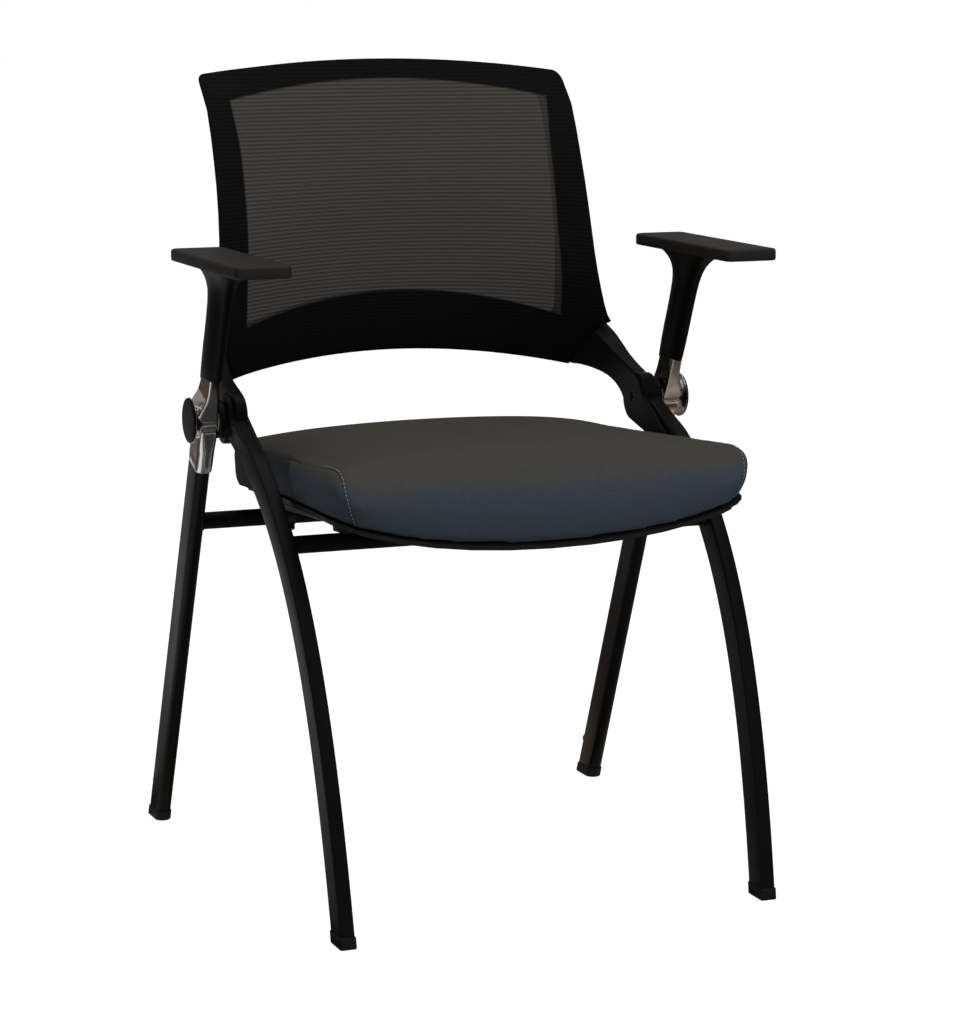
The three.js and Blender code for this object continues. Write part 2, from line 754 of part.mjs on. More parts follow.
const windowSide = windowHalfWidth - windowCornerRadius;
const windowHalf = new THREE.Path();
windowHalf.moveTo(0, windowBottom);
windowHalf.quadraticCurveTo(windowSide / 2, windowBottom, windowSide, windowFoot);
windowHalf.quadraticCurveTo(windowHalfWidth, windowFoot, windowHalfWidth, windowFoot + windowCornerRadius);
windowHalf.bezierCurveTo(
  windowHalfWidth, lumbarHeight,
  windowHalfWidth, (lumbarHeight + backShoulder) / 2,
  windowHalfWidth, windowShoulder - windowCornerRadius,
);
windowHalf.quadraticCurveTo(windowHalfWidth, windowShoulder, windowSide, windowShoulder);
windowHalf.quadraticCurveTo(windowSide / 2, windowTop, 0, windowTop);
const windowOutline = closeOutline(windowHalf.getPoints(curveSteps));

// One ring of the back, a share of the way from outline to window, at a depth behind the face.
function backRing(share, depth) {
  return backOutline.map((p, i) => {
    const x = p.x + (windowOutline[i].x - p.x) * share;
    const z = p.y + (windowOutline[i].y - p.y) * share;
    return new THREE.Vector3(x, backFace(x, z) + depth, z);
  });
}

// One ring of the mesh inside the window, shrunk towards the window's middle.
const windowMiddle = (windowTop + windowBottom) / 2;

function windowRing(share, depth) {
  return windowOutline.map((p) => {
    const x = p.x * share;
    const z = windowMiddle + (p.y - windowMiddle) * share;
    return new THREE.Vector3(x, backFace(x, z) + depth, z);
  });
}

// Skins rings one after another and joins the last to the first.
function ringLoft(rings) {
  const count = rings[0].length;
  const faces = [];
  const at = (ring, i) => (ring % rings.length) * count + (i % count);
  for (let ring = 0; ring < rings.length; ring += 1) {
    for (let i = 0; i < count; i += 1) {
      faces.push(at(ring, i), at(ring, i + 1), at(ring + 1, i));
      faces.push(at(ring, i + 1), at(ring + 1, i + 1), at(ring + 1, i));
    }
  }
  const geometry = new THREE.BufferGeometry().setFromPoints(rings.flat());
  geometry.setIndex(faces);
  return faceOutward(geometry);
}

// Sheet over the face of the back between two depths, its rear face skinned like the ring's front.
function backSheet(near, far) {
  const shares = [...meshSectionShares];
  const windowShares = [...meshWindowShares];
  return loft(
    [
      ...[...windowShares].reverse().map((share) => windowRing(share, near)),
      ...[...shares].reverse().map((share) => backRing(share, near)),
      ...shares.map((share) => backRing(share, far)),
      ...windowShares.map((share) => windowRing(share, far)),
    ],
    new THREE.Vector3(0, backFace(0, windowMiddle) + near, windowMiddle),
    new THREE.Vector3(0, backFace(0, windowMiddle) + far, windowMiddle),
  );
}

const frameDepth = meshThickness + clearance;
place('back_mesh', backSheet(0, meshThickness), knitMesh);
const ringBody = ringLoft(ringSection.map(([share, depth]) => backRing(share, frameDepth + depth)));

// Back arm: a blade skinned through its stations, cut clear of the knuckle and of the mesh.
const armAlong = new THREE.Vector3(0, Math.cos(armSlope), Math.sin(armSlope));
const armAcross = new THREE.Vector3(0, -Math.sin(armSlope), Math.cos(armSlope));
const armCorners = [
  [0, armEdgeShare], [armEdgeShare, 0], [1 - armEdgeShare, 0], [1, armEdgeShare],
  [1, 0.5], [1, 1 - armEdgeShare], [1 - armEdgeShare, 1], [armEdgeShare, 1], [0, 1 - armEdgeShare],
  [0, 0.5],
];
const armBlade = loft(armStations.map(([run, low, high, lowIn, lowOut, highIn, highOut]) => (
  armCorners.map(([across, up]) => {
    const inner = lowIn + (highIn - lowIn) * up;
    const outer = lowOut + (highOut - lowOut) * up;
    return pivot.clone()
      .addScaledVector(armAlong, run)
      .addScaledVector(armAcross, low + (high - low) * up)
      .add(new THREE.Vector3(inner + (outer - inner) * across, 0, 0));
  })
)));
const plateOuterX = legInnerX - clearance;
const plateInnerX = plateOuterX - plateThickness;
const armSolid = solidOf(armBlade)
  .subtract(solidOf(rod(knuckleRadius + clearance, plateOuterX, rearX, pivotY, pivotHeight)))
  .subtract(solidOf(backSheet(-overrun, frameDepth + clearance)));

// Flat end of the arm: a disc round the screw with a tongue down the inner face of the leg.
const tongueTip = frontCurve.getPointAt(tongueLength / curveLength);
const tongueAlong = frontCurve.getTangentAt(tongueLength / curveLength);
const plateShape = new THREE.Shape();
const tipY = tongueTip.y - pivotY;
const tipZ = tongueTip.z - pivotHeight;
const discStart = -0.45 * Math.PI;
const discEnd = 0.93 * Math.PI;
plateShape.absarc(0, 0, plateRadius, discStart, discEnd);
plateShape.lineTo(tipY - tongueAlong.z * -tongueTipHalf, tipZ + tongueAlong.y * -tongueTipHalf);
plateShape.absarc(tipY, tipZ, tongueTipHalf, 0.6 * Math.PI, 1.5 * Math.PI);
const plate = reshape(new THREE.ExtrudeGeometry(plateShape, {
  depth: plateThickness,
  bevelEnabled: false,
  curveSegments: noseSteps * 2,
}), (p) => {
  const z = pivotHeight + p.y;
  const lean = Math.min(0, frontLegX(z) - frontX);
  p.set(plateInnerX + p.z + lean, pivotY + p.x, z);
});
const backArm = armSolid.add(solidOf(plate))
  .subtract(solidOf(rod(screwRecessRadius, 0, plateInnerX + screwRecessDepth, pivotY, pivotHeight)))
  .subtract(solidOf(rod(screwRadius + clearance, 0, rearX, pivotY, pivotHeight)));
const backFrame = solidOf(ringBody).add(backArm).add(solidOf(mirrored(geometryOf(backArm))));
place('back_frame', backFrame, blackPlastic);

const screwHeadX = plateInnerX + screwRecessDepth - clearance;
const backScrew = solidOf(turned([
  [0, screwHeadX - screwHeadThickness],
  [screwHeadRadius, screwHeadX - screwHeadThickness],
  [screwHeadRadius, screwHeadX],
  [screwRadius, screwHeadX],
  [screwRadius, screwTipX - clearance],
  [0, screwTipX - clearance],
], pivotY, pivotHeight, smallSteps)).subtract(solidOf(
  rod(socketRadius, 0, screwHeadX - screwHeadThickness + socketSink, pivotY, pivotHeight, 6),
));
placePair('back_screw', backScrew, zincSteel);

// Seat frame: forward runs from the hinge along the rails, up is square to them.
const sleeveRadius = crossbarRadius + runningGap + sleeveWall;
const eyeRadius = sleeveRadius + clearance;
const barRun = rearBarY - frontBarY;
const barClimb = frontBarHeight - rearBarHeight;
const railFloor = crossbarRadius + restPadHeight + clearance;
const seatTilt = Math.atan2(barClimb + railFloor - eyeRadius, barRun);
const seatForward = new THREE.Vector3(0, -Math.cos(seatTilt), Math.sin(seatTilt));
const seatUp = new THREE.Vector3(0, Math.sin(seatTilt), Math.cos(seatTilt));

function seatPoint(x, forward, up) {
  return new THREE.Vector3(x, rearBarY, rearBarHeight)
    .addScaledVector(seatForward, forward)
    .addScaledVector(seatUp, up);
}

// Extrudes a side outline, given in forward and up, sideways across the seat.
function seatExtrusion(shape, x0, x1) {
  return reshape(new THREE.ExtrudeGeometry(shape, {
    depth: x1 - x0,
    bevelEnabled: false,
    curveSegments: noseSteps * 2,
  }), (p) => p.copy(seatPoint(x0 + p.z, p.x, p.y)));
}

// Seat rail: a flat strip whose rear end is rolled round the sleeve on the rear crossbar.
const frontBarForward = Math.hypot(barRun, barClimb);
const railEnd = frontBarForward + railOverhang;
const eyeOpening = 1.2 * Math.PI;
const railShape = new THREE.Shape();
railShape.moveTo(railEnd, eyeRadius);
railShape.lineTo(railEnd, eyeRadius + railThickness);
railShape.lineTo(0, eyeRadius + railThickness);
railShape.absarc(0, 0, eyeRadius + railThickness, Math.PI / 2, Math.PI / 2 + eyeOpening);
railShape.absarc(0, 0, eyeRadius, Math.PI / 2 + eyeOpening, Math.PI / 2, true);
const railInnerX = railOffset - railWidth / 2;
const railOuterX = railOffset + railWidth / 2;
const rail = solidOf(seatExtrusion(railShape, railInnerX, railOuterX));

placePair('hinge_sleeve', turned([
  [crossbarRadius + runningGap, railInnerX - sleeveWall],
  [sleeveRadius, railInnerX - sleeveWall],
  [sleeveRadius, railOuterX + sleeveWall],
  [crossbarRadius + runningGap, railOuterX + sleeveWall],
  [crossbarRadius + runningGap, railInnerX - sleeveWall],
], rearBarY, rearBarHeight), nylon);

// Rest pad: a rubber block under each rail that sits on the front crossbar.
const restPadShape = new THREE.Shape();
const restPadTop = eyeRadius - clearance;
const restPadBase = restPadTop - restPadHeight + clearance;
restPadShape.moveTo(frontBarForward - restPadLength / 2, restPadBase);
restPadShape.lineTo(frontBarForward + restPadLength / 2, restPadBase);
restPadShape.lineTo(frontBarForward + restPadLength / 2, restPadTop);
restPadShape.lineTo(frontBarForward - restPadLength / 2, restPadTop);
const restPad = seatExtrusion(restPadShape, railOffset - restPadWidth / 2, railOffset + restPadWidth / 2);
placePair('rest_pad', restPad, rubber);

// Plan of the seat, x across and y forward: nearly square front corners, then a narrower waist.
const seatHalf = new THREE.Path();
const seatSideStart = seatFront - seatCornerLength;
const seatWaistStart = seatSideStart - seatSideLength;
const seatWaistEnd = seatWaistStart - seatWaistLength;
seatHalf.moveTo(0, seatFront);
seatHalf.quadraticCurveTo(
  seatFrontHalf / 2, seatFront,
  seatFrontHalf - seatCornerWidth, seatFront - seatFrontBow,
);
seatHalf.bezierCurveTo(
  seatFrontHalf - seatCornerWidth / 4, seatFront - seatFrontBow * 1.4,
  seatFrontHalf, seatFront - seatCornerLength / 3,
  seatFrontHalf, seatSideStart,
);
seatHalf.lineTo(seatFrontHalf, (seatSideStart + seatWaistStart) / 2);
seatHalf.lineTo(seatFrontHalf, seatWaistStart);
seatHalf.bezierCurveTo(
  seatFrontHalf, seatWaistStart - seatWaistLength * 0.4,
  seatWaistHalf, seatWaistEnd + seatWaistLength * 0.5,
  seatWaistHalf, seatWaistEnd,
);
seatHalf.lineTo(seatRearHalf, -seatRear + seatRearRadius);
seatHalf.quadraticCurveTo(
  seatRearHalf, -seatRear + seatRearBow,
  seatRearHalf - seatRearRadius, -seatRear + seatRearBow,
);
seatHalf.quadraticCurveTo(seatRearHalf / 2, -seatRear, 0, -seatRear);
const seatEdge = closeOutline(seatHalf.getPoints(seatCurveSteps));
const seatCentre = new THREE.Vector2(0, (seatFront - seatRear) / 2);

// At each outline point: the way outward, how far it faces forward, its roll and its hem's inset.
const seatTurns = seatEdge.map((p, i) => {
  const before = seatEdge[(i + seatEdge.length - 1) % seatEdge.length];
  const after = seatEdge[(i + 1) % seatEdge.length];
  const along = after.clone().sub(before).normalize();
  const outward = new THREE.Vector2(along.y, -along.x);
  if (outward.dot(p.clone().sub(seatCentre)) < 0) {
    outward.negate();
  }
  const facing = Math.max(0, outward.y);
  const roll = cushionSideRoll + (cushionFrontRoll - cushionSideRoll) * facing ** 2;
  const tuck = THREE.MathUtils.smoothstep(facing, 0, Math.SQRT1_2);
  const diagonal = 2 * facing * Math.abs(outward.x);
  const inset = hemSideInset + (hemFrontInset - hemSideInset) * tuck + hemCornerInset * diagonal ** 2;
  return { outward, roll, inset };
});

// The outline drawn in by a share of its hem's inset.
function drawnIn(share) {
  return seatEdge.map((p, i) => p.clone().addScaledVector(seatTurns[i].outward, -seatTurns[i].inset * share));
}

// Upper face of the seat pan: level inside, lifted at the sides, more so to the rear, and dipped
// at the front.
const panBase = eyeRadius + railThickness + clearance;

function panTop(x, forward) {
  const side = Math.abs(x) / seatFrontHalf;
  const dip = THREE.MathUtils.smoothstep(forward, seatFront - panFrontRun, seatFront);
  const middle = Math.max(0, 1 - (x / panDropHalf) ** 2);
  const lift = panSideRise * side ** 4 + panRearRise * side ** 8 * (1 - forward / seatFront);
  return panBase + panThickness + lift - panFrontDrop * dip ** 2 * middle;
}

// One ring of the seat: an outline shrunk towards the middle, at heights by rule.
function seatRing(outline, share, height) {
  return outline.map((p) => {
    const x = p.x * share;
    const forward = seatCentre.y + (p.y - seatCentre.y) * share;
    return seatPoint(x, forward, height(x, forward));
  });
}

const seatHem = drawnIn(1);

const panShares = [0.3, 0.6, 0.8, 0.92, 1];
const panLower = (x, forward) => panTop(x, forward) - panThickness;
const panShell = solidOf(loft(
  [
    ...panShares.map((share) => seatRing(seatHem, share, panTop)),
    ...[...panShares].reverse().map((share) => seatRing(seatHem, share, panLower)),
  ],
  seatPoint(0, seatCentre.y, panTop(0, seatCentre.y)),
  seatPoint(0, seatCentre.y, panLower(0, seatCentre.y)),
));

// Flat landing moulded under the pan for each rail, with blind holes for the screws.
const landingShape = new THREE.Shape();
const landingTop = panBase + panThickness + landingSink;
landingShape.moveTo(landingStart, panBase);
landingShape.lineTo(frontBarForward, panBase);
landingShape.lineTo(frontBarForward, landingTop);
landingShape.lineTo(landingStart, landingTop);
const landing = solidOf(seatExtrusion(landingShape, railInnerX, railOuterX));
const screwForwardShares = [0.25, 0.75];

// Round hole square to the seat, centred on a rail at a share of the way forward.
function seatHole(share, radius, bottom, top) {
  const profile = [[0, bottom], [radius, bottom], [radius, top], [0, top]];
  const lathe = new THREE.LatheGeometry(profile.map(([r, h]) => new THREE.Vector2(r, h)), noseSteps * 2);
  return solidOf(reshape(lathe, (p) => (
    p.copy(seatPoint(railOffset + p.x, frontBarForward * share + p.z, p.y))
  )));
}

const screwTip = eyeRadius + railThickness + clearance + seatScrewBite;
let landingDrilled = landing;
let panDrilled = panShell;
screwForwardShares.forEach((share) => {
  const hole = seatHole(share, seatScrewRadius + threadGap, panBase - overrun, screwTip + clearance);
  landingDrilled = landingDrilled.subtract(hole);
  panDrilled = panDrilled.subtract(hole).subtract(solidOf(mirrored(geometryOf(hole))));
});
place('seat_pan', panDrilled.add(landingDrilled).add(solidOf(mirrored(geometryOf(landingDrilled)))), blackPlastic);

// Cushion: drawn in at the hem, bulging above it, rolled over into a crowned top.
const hemRise = (x, forward) => panTop(x, forward) + clearance;
const seatFloorHeight = panBase - railThickness;

function cushionTop(x, forward) {
  const across = Math.min(1, Math.abs(x) / seatFrontHalf);
  const along = Math.min(1, Math.abs(forward - seatCentre.y) / ((seatFront + seatRear) / 2));
  return seatFloorHeight + cushionEdgeHeight + cushionCrown * (1 - across ** 2) * (1 - along ** 4);
}

// A ring on the roll between side and top, at a turn from upright (0) to level (1).
function rollRing(turn) {
  const angle = turn * Math.PI / 2;
  return seatEdge.map((p, i) => {
    const { outward, roll } = seatTurns[i];
    const inner = p.clone().addScaledVector(outward, -roll * (1 - Math.cos(angle)));
    return seatPoint(inner.x, inner.y, cushionTop(p.x, p.y) - roll * (1 - Math.sin(angle)));
  });
}

// Ring a little above the hem, drawn in by a share of the hem's inset.
function sideRing(lift, share) {
  return drawnIn(share).map((p) => seatPoint(p.x, p.y, hemRise(p.x, p.y) + lift));
}

const innerShares = [0.72, 0.5, 0.25];
const cushionUnderShares = [0.3, 0.6, 0.8, 0.92, 1];
place('seat_cushion', loft(
  [
    ...cushionUnderShares.map((share) => seatRing(seatHem, share, hemRise)),
    sideRing(hemLift, 0.62),
    sideRing(hemLift * 2, 0.3),
    rollRing(0),
    rollRing(0.35),
    rollRing(0.68),
    rollRing(1),
    ...innerShares.map((share) => seatRing(seatEdge, share, cushionTop)),
  ],
  seatPoint(0, seatCentre.y, hemRise(0, seatCentre.y)),
  seatPoint(0, seatCentre.y, cushionTop(0, seatCentre.y)),
), seatCloth);

// Screws up through the rails into the pan's landings, two to a rail.
let drilledRail = rail;
screwForwardShares.forEach((share) => {
  drilledRail = drilledRail.subtract(seatHole(share, seatScrewRadius + clearance, 0, panBase));
});
placePair('seat_rail', drilledRail, zincSteel);

screwForwardShares.forEach((share, i) => {
  const headTop = eyeRadius - clearance;
  const profile = [
    [0, headTop - seatScrewHeadThickness],
    [seatScrewHeadRadius, headTop - seatScrewHeadThickness],
    [seatScrewHeadRadius, headTop],
    [seatScrewRadius, headTop],
    [seatScrewRadius, screwTip],
    [0, screwTip],
  ];
  const screw = new THREE.LatheGeometry(profile.map(([r, h]) => new THREE.Vector2(r, h)), noseSteps * 2);
  const geometry = reshape(screw, (p) => (
    p.copy(seatPoint(railOffset + p.x, frontBarForward * share + p.z, p.y))
  ));
  placePair(`seat_screw_${i + 1}`, geometry, zincSteel);
});

export default chair;
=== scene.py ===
from math import atan2, cos, exp, pi, radians, sin, tan, tanh

import bmesh
import bpy
from mathutils import Matrix, Vector
from mathutils.bvhtree import BVHTree
from mathutils.geometry import interpolate_bezier
from mathutils.kdtree import KDTree


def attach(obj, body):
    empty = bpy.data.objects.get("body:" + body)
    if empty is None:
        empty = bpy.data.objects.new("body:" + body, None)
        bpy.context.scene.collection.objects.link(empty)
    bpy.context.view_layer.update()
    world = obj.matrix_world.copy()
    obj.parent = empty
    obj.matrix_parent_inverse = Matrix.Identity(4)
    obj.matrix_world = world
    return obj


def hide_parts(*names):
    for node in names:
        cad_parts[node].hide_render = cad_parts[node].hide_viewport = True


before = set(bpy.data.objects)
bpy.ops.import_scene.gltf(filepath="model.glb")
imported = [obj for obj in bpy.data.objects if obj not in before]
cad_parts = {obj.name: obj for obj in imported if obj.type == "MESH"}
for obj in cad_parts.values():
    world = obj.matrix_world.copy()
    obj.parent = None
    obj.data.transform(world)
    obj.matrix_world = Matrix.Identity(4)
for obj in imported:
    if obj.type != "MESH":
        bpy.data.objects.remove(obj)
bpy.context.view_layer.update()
scene = bpy.context.scene

# The studio: a long lens low in front, on the sitter's right-hand side, and pale paper underfoot.
# Two broad soft lamps and an even sky light the chair. Polished metal doesn't mirror the lamps.
FOCAL_PIXELS, LONG_SIDE, SENSOR_WIDTH = 3167.2, 1024, 36
CAMERA_PLACE = Vector((-1.2312, -3.179, 0.9694))
CAMERA_AZIMUTH, CAMERA_ELEVATION = radians(-21.66), radians(9.74)
NEAREST, FARTHEST = 0.05, 100
WHITE = (1, 1, 1, 1)

lens = bpy.data.cameras.new("long_lens")
lens.sensor_width = SENSOR_WIDTH
lens.lens = FOCAL_PIXELS * SENSOR_WIDTH / LONG_SIDE
lens.clip_start, lens.clip_end = NEAREST, FARTHEST


def placed(name, data):
    """Adds an object to the scene, with a mesh of its own when it is given a bmesh."""
    if isinstance(data, bmesh.types.BMesh):
        bm, data = data, bpy.data.meshes.new(name)
        bm.to_mesh(data)
    thing = bpy.data.objects.new(name, data)
    scene.collection.objects.link(thing)
    return thing


camera = placed("camera", lens)
camera.location = CAMERA_PLACE
camera.rotation_euler = (pi / 2 - CAMERA_ELEVATION, 0, CAMERA_AZIMUTH)
scene.camera = camera
scene.view_settings.view_transform = "Standard"


def lamp(name, place, aim, size, watts, colour):
    """Hangs one soft rectangular lamp that faces a point."""
    light = bpy.data.lights.new(name, "AREA")
    light.size, light.energy, light.color = size, watts, colour
    holder = placed(name, light)
    holder.location = place
    holder.rotation_euler = (Vector(aim) - Vector(place)).to_track_quat("-Z", "Y").to_euler()
    holder.visible_glossy = False


lamp("overhead", (-0.5, -0.7, 3.2), (0, 0, 0.5), 2.2, 38, (1, 0.955, 0.9))
lamp("front_fill", (1.7, -3.1, 2.3), (0, 0, 0.5), 2.0, 56, (0.86, 0.94, 1))


class Wire:
    """A shader socket that takes part in sums: each sum on it adds a Math node."""

    def __init__(self, nodes, socket):
        self.nodes, self.socket = nodes, socket

    def maths(self, operation, *others, turned_round=False):
        values = (*others, self) if turned_round else (self, *others)
        return self.nodes.node("ShaderNodeMath", {"operation": operation}, dict(enumerate(values)))

    def __add__(self, other):
        return self.maths("ADD", other)

    def __sub__(self, other):
        return self.maths("SUBTRACT", other)

    def __rsub__(self, other):
        return self.maths("SUBTRACT", other, turned_round=True)

    def __mul__(self, other):
        return self.maths("MULTIPLY", other)

    def __truediv__(self, other):
        return self.maths("DIVIDE", other)

    def __pow__(self, other):
        return self.maths("POWER", other)

    def wave(self):
        """A smooth wave from 0 to 1 that repeats once for each whole number."""
        return (self * (2 * pi)).maths("SINE") * 0.5 + 0.5

    def between(self, low, high):
        """0 below low, 1 above high, and a soft step from one to the other."""
        settings = {"interpolation_type": "SMOOTHSTEP"}
        return self.nodes.node("ShaderNodeMapRange", settings, {0: self, 1: low, 2: high})

    __radd__, __rmul__ = __add__, __mul__


class Nodes:
    """A node tree, with short calls that add nodes to it."""

    def __init__(self, tree):
        self.tree = tree

    def put(self, node, key, value):
        if isinstance(value, Wire):
            self.tree.links.new(value.socket, node.inputs[key])
        else:
            node.inputs[key].default_value = value

    def node(self, kind, settings=None, sockets=None, out=0):
        made = self.tree.nodes.new(kind)
        for key, value in (settings or {}).items():
            setattr(made, key, value)
        for key, value in (sockets or {}).items():
            self.put(made, key, value)
        return Wire(self, made.outputs[out])

    def parts(self, vector):
        split = self.node("ShaderNodeSeparateXYZ", None, {0: vector}).socket.node
        return [Wire(self, part) for part in split.outputs]

    def mix(self, factor, low, high, blend="MIX"):
        low, high = (tint if isinstance(tint, Wire) else (*tint, 1) for tint in (low, high))
        settings = {"data_type": "RGBA", "blend_type": blend}
        return self.node("ShaderNodeMix", settings, {0: factor, 6: low, 7: high}, out=2)

    def by_ray(self, plain, seen, mirrored):
        """One shader for the light on the chair, one for the camera and one for mirrors."""
        kinds = ("Camera", "Glossy", "Transmission")
        rays = [self.node("ShaderNodeLightPath", out=f"Is {kind} Ray") for kind in kinds]
        camera_ray, mirror_ray, thin_ray = rays
        looked_at = camera_ray.maths("MAXIMUM", thin_ray)
        unmirrored = self.node("ShaderNodeMixShader", None, {0: looked_at, 1: plain, 2: seen})
        return self.node("ShaderNodeMixShader", None, {0: mirror_ray, 1: unmirrored, 2: mirrored})


class Finish(Nodes):
    """One node material and the record's slot that it stands for."""

    def __init__(self, name, slot, **surface):
        self.material = bpy.data.materials.new(name)
        self.material.use_nodes = True
        super().__init__(self.material.node_tree)
        self.slot = slot
        self.shader = self.tree.nodes["Principled BSDF"]
        for key, value in surface.items():
            self.put(self.shader, key.replace("_", " ").title().replace("Ior", "IOR"), value)

    def place(self):
        return self.node("ShaderNodeTexCoord", out="Object")

    def axes(self):
        return self.parts(self.place())

    def noise(self, scale, detail):
        sockets = {"Vector": self.place(), "Scale": scale, "Detail": detail}
        return self.node("ShaderNodeTexNoise", None, sockets)

    def colour(self, scale, detail, low, high):
        self.put(self.shader, "Base Color", self.mix(self.noise(scale, detail), low, high))

    def roughness(self, scale, detail, low, high):
        self.put(self.shader, "Roughness", self.noise(scale, detail) * (high - low) + low)

    def relief(self, height, depth, strength):
        sockets = {"Height": height, "Distance": depth, "Strength": strength}
        self.put(self.shader, "Normal", self.node("ShaderNodeBump", None, sockets))


# The floor: one sheet of white paper that runs out of sight, pure white to the camera, with the
# chair's own faint shadow kept on it. Polished metal mirrors a dim room's floor in its place:
# pale with dark things near the chair, brown further off, and one bright band.
FLOOR_HALF = 30

floor_bm = bmesh.new()
bmesh.ops.create_grid(floor_bm, x_segments=1, y_segments=1, size=FLOOR_HALF)
floor = placed("paper_floor", floor_bm)
floor_bm.free()

paper = Finish("white_paper", None, roughness=0.9, base_color=(0.46, 0.45, 0.44, 1))
shadow_paper = paper.node("ShaderNodeBsdfDiffuse", None, {"Color": (0.34, 0.34, 0.34, 1)})
white_paper = paper.node("ShaderNodeEmission", None, {"Color": WHITE, "Strength": 0.91})
lit_paper = paper.node("ShaderNodeAddShader", None, {0: shadow_paper, 1: white_paper})
floor_x, floor_y, _ = paper.axes()
from_chair = (floor_x * floor_x + floor_y * floor_y) ** 0.5
bright_band = floor_x.between(-1.05, -0.8) * (1 - floor_x.between(-0.6, -0.42))
near_floor = paper.mix(from_chair.between(0.22, 0.42), (0.2, 0.205, 0.22), (0.42, 0.36, 0.3))
dark_things = paper.noise(6.5, 1).between(0.44, 0.56)
near_things = paper.mix(dark_things, (0.035, 0.034, 0.036), near_floor)
room_floor = paper.mix(from_chair.between(0.45, 1.5), near_things, (0.075, 0.055, 0.042))
mirrored_floor = paper.mix(bright_band, room_floor, (0.85, 0.87, 0.92))
room_paper = paper.node("ShaderNodeEmission", None, {"Color": mirrored_floor, "Strength": 1.0})
plain_paper = Wire(paper, paper.shader.outputs[0])
paper.put(paper.tree.nodes["Material Output"], "Surface", paper.by_ray(plain_paper, lit_paper, room_paper))
floor.data.materials.append(paper.material)

# The sky: even pale light from all round, pure white where the camera sees it. Polished metal
# mirrors a dim room with a bright ceiling in its place, and a paler wall behind the chair.
SKY_STRENGTH = 0.32
# share of the way from straight down to straight up, and the mirrored room's colour there
ROOM_STOPS = [
    (0.5, (0.07, 0.05, 0.038, 1)), (0.56, (0.022, 0.022, 0.025, 1)),
    (0.88, (0.05, 0.05, 0.055, 1)), (0.97, (0.8, 0.8, 0.8, 1)),
]
PALE_WALL = (0.3, 0.285, 0.27)

sky = bpy.data.worlds.new("studio_sky")
sky.use_nodes = True
scene.world = sky
room = Nodes(sky.node_tree)
sky_light = sky.node_tree.nodes["Background"]
room.put(sky_light, "Color", WHITE)
room.put(sky_light, "Strength", SKY_STRENGTH)
_, room_away, room_up = room.parts(room.node("ShaderNodeTexCoord", out="Generated"))
room_wall = room.node("ShaderNodeValToRGB", None, {0: room_up * 0.5 + 0.5})
wall_stops = room_wall.socket.node.color_ramp.elements
for place, shade in ROOM_STOPS[2:]:
    wall_stops.new(place)
for stop, (place, shade) in zip(wall_stops, ROOM_STOPS):
    stop.position, stop.color = place, shade
room_colour = room.mix(room_away.between(0.45, 0.85), room_wall, PALE_WALL)
white_sky = room.node("ShaderNodeBackground", None, {"Color": WHITE})
room_sky = room.node("ShaderNodeBackground", None, {"Color": room_colour})
sky_surface = room.by_ray(Wire(room, sky_light.outputs[0]), white_sky, room_sky)
room.put(sky.node_tree.nodes["World Output"], "Surface", sky_surface)

# Rear legs: straight steel tube with a half-round nose forward and a flat back, satin black
# powder coat. Each runs in one line with its arm post, up into the pivot casting.
PIVOT = Vector((0, 0.0622348, 0.492))
REAR_LEAN = radians(23)
REAR_X = 0.271
LEG_WIDTH, LEG_DEPTH = 0.016, 0.035
EDGE_RADIUS = 0.0016
NOSE_STEPS, EDGE_STEPS = 14, 3
SOCKET_DEPTH = 0.034
SOLE = 0.004

powder_coat = Finish(
    "satin_powder_coat", "powder_coat",
    base_color=(0.0056, 0.0053, 0.0051, 1), roughness=0.36, specular_ior_level=0.14,
)
powder_coat.roughness(26, 3, 0.3, 0.46)
powder_coat.relief(powder_coat.noise(650, 1.5), 0.00008, 0.35)


def skin(rings, close=False, bm=None):
    """Drags a loop of edges through rings of points, and caps the ends unless it closes."""
    bm, count = bm or bmesh.new(), len(rings[0])
    first = [bm.verts.new(p) for p in rings[0]]
    loop = [bm.edges.new((first[i - 1], first[i])) for i in range(count)]
    start, last = list(loop), first
    for ring in rings[1:]:
        made = bmesh.ops.extrude_edge_only(bm, edges=loop)["geom"]
        fresh = {v for v in made if isinstance(v, bmesh.types.BMVert)}
        last = [next(e.other_vert(v) for e in v.link_edges if e.other_vert(v) in fresh) for v in last]
        for vertex, p in zip(last, ring):
            vertex.co = p
        loop = [bm.edges.get((last[i - 1], last[i])) for i in range(count)]
    if close:
        bmesh.ops.bridge_loops(bm, edges=start + loop)
    else:
        bm.faces.new(first)
        bm.faces.new(last)
    return bm


def finished(name, bm, finish, body, *nodes, crease=32):
    """Turns a bmesh into a piece that rides on a body and stands for CAD nodes."""
    bmesh.ops.recalc_face_normals(bm, faces=bm.faces)
    piece = placed(name, bm)
    bm.free()
    piece.data.shade_smooth()
    piece.data.set_sharp_from_angle(angle=radians(crease))
    piece.data.materials.append(finish.material)
    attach(piece, body)
    if nodes:
        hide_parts(*nodes)
    return piece


def pair(name, bm, finish, body, node=None, crease=32):
    """Finishes a piece for the sitter's left and its mirror image for the right."""
    other = bm.copy()
    bmesh.ops.scale(other, vec=(-1, 1, 1), verts=other.verts)
    bmesh.ops.reverse_faces(other, faces=other.faces)
    for side, half in (("l", bm), ("r", other)):
        stands_for = [f"{node}_{side}"] if node else []
        finished(f"{name}_{side}", half, finish, body, *stands_for, crease=crease)


def arc(x, y, radius, start, sweep, steps):
    """Points round a centre, from a start onward, both counted in half turns."""
    turns = [pi * (start + sweep * i / steps) for i in range(steps + 1)]
    return [(x + radius * cos(turn), y + radius * sin(turn)) for turn in turns]


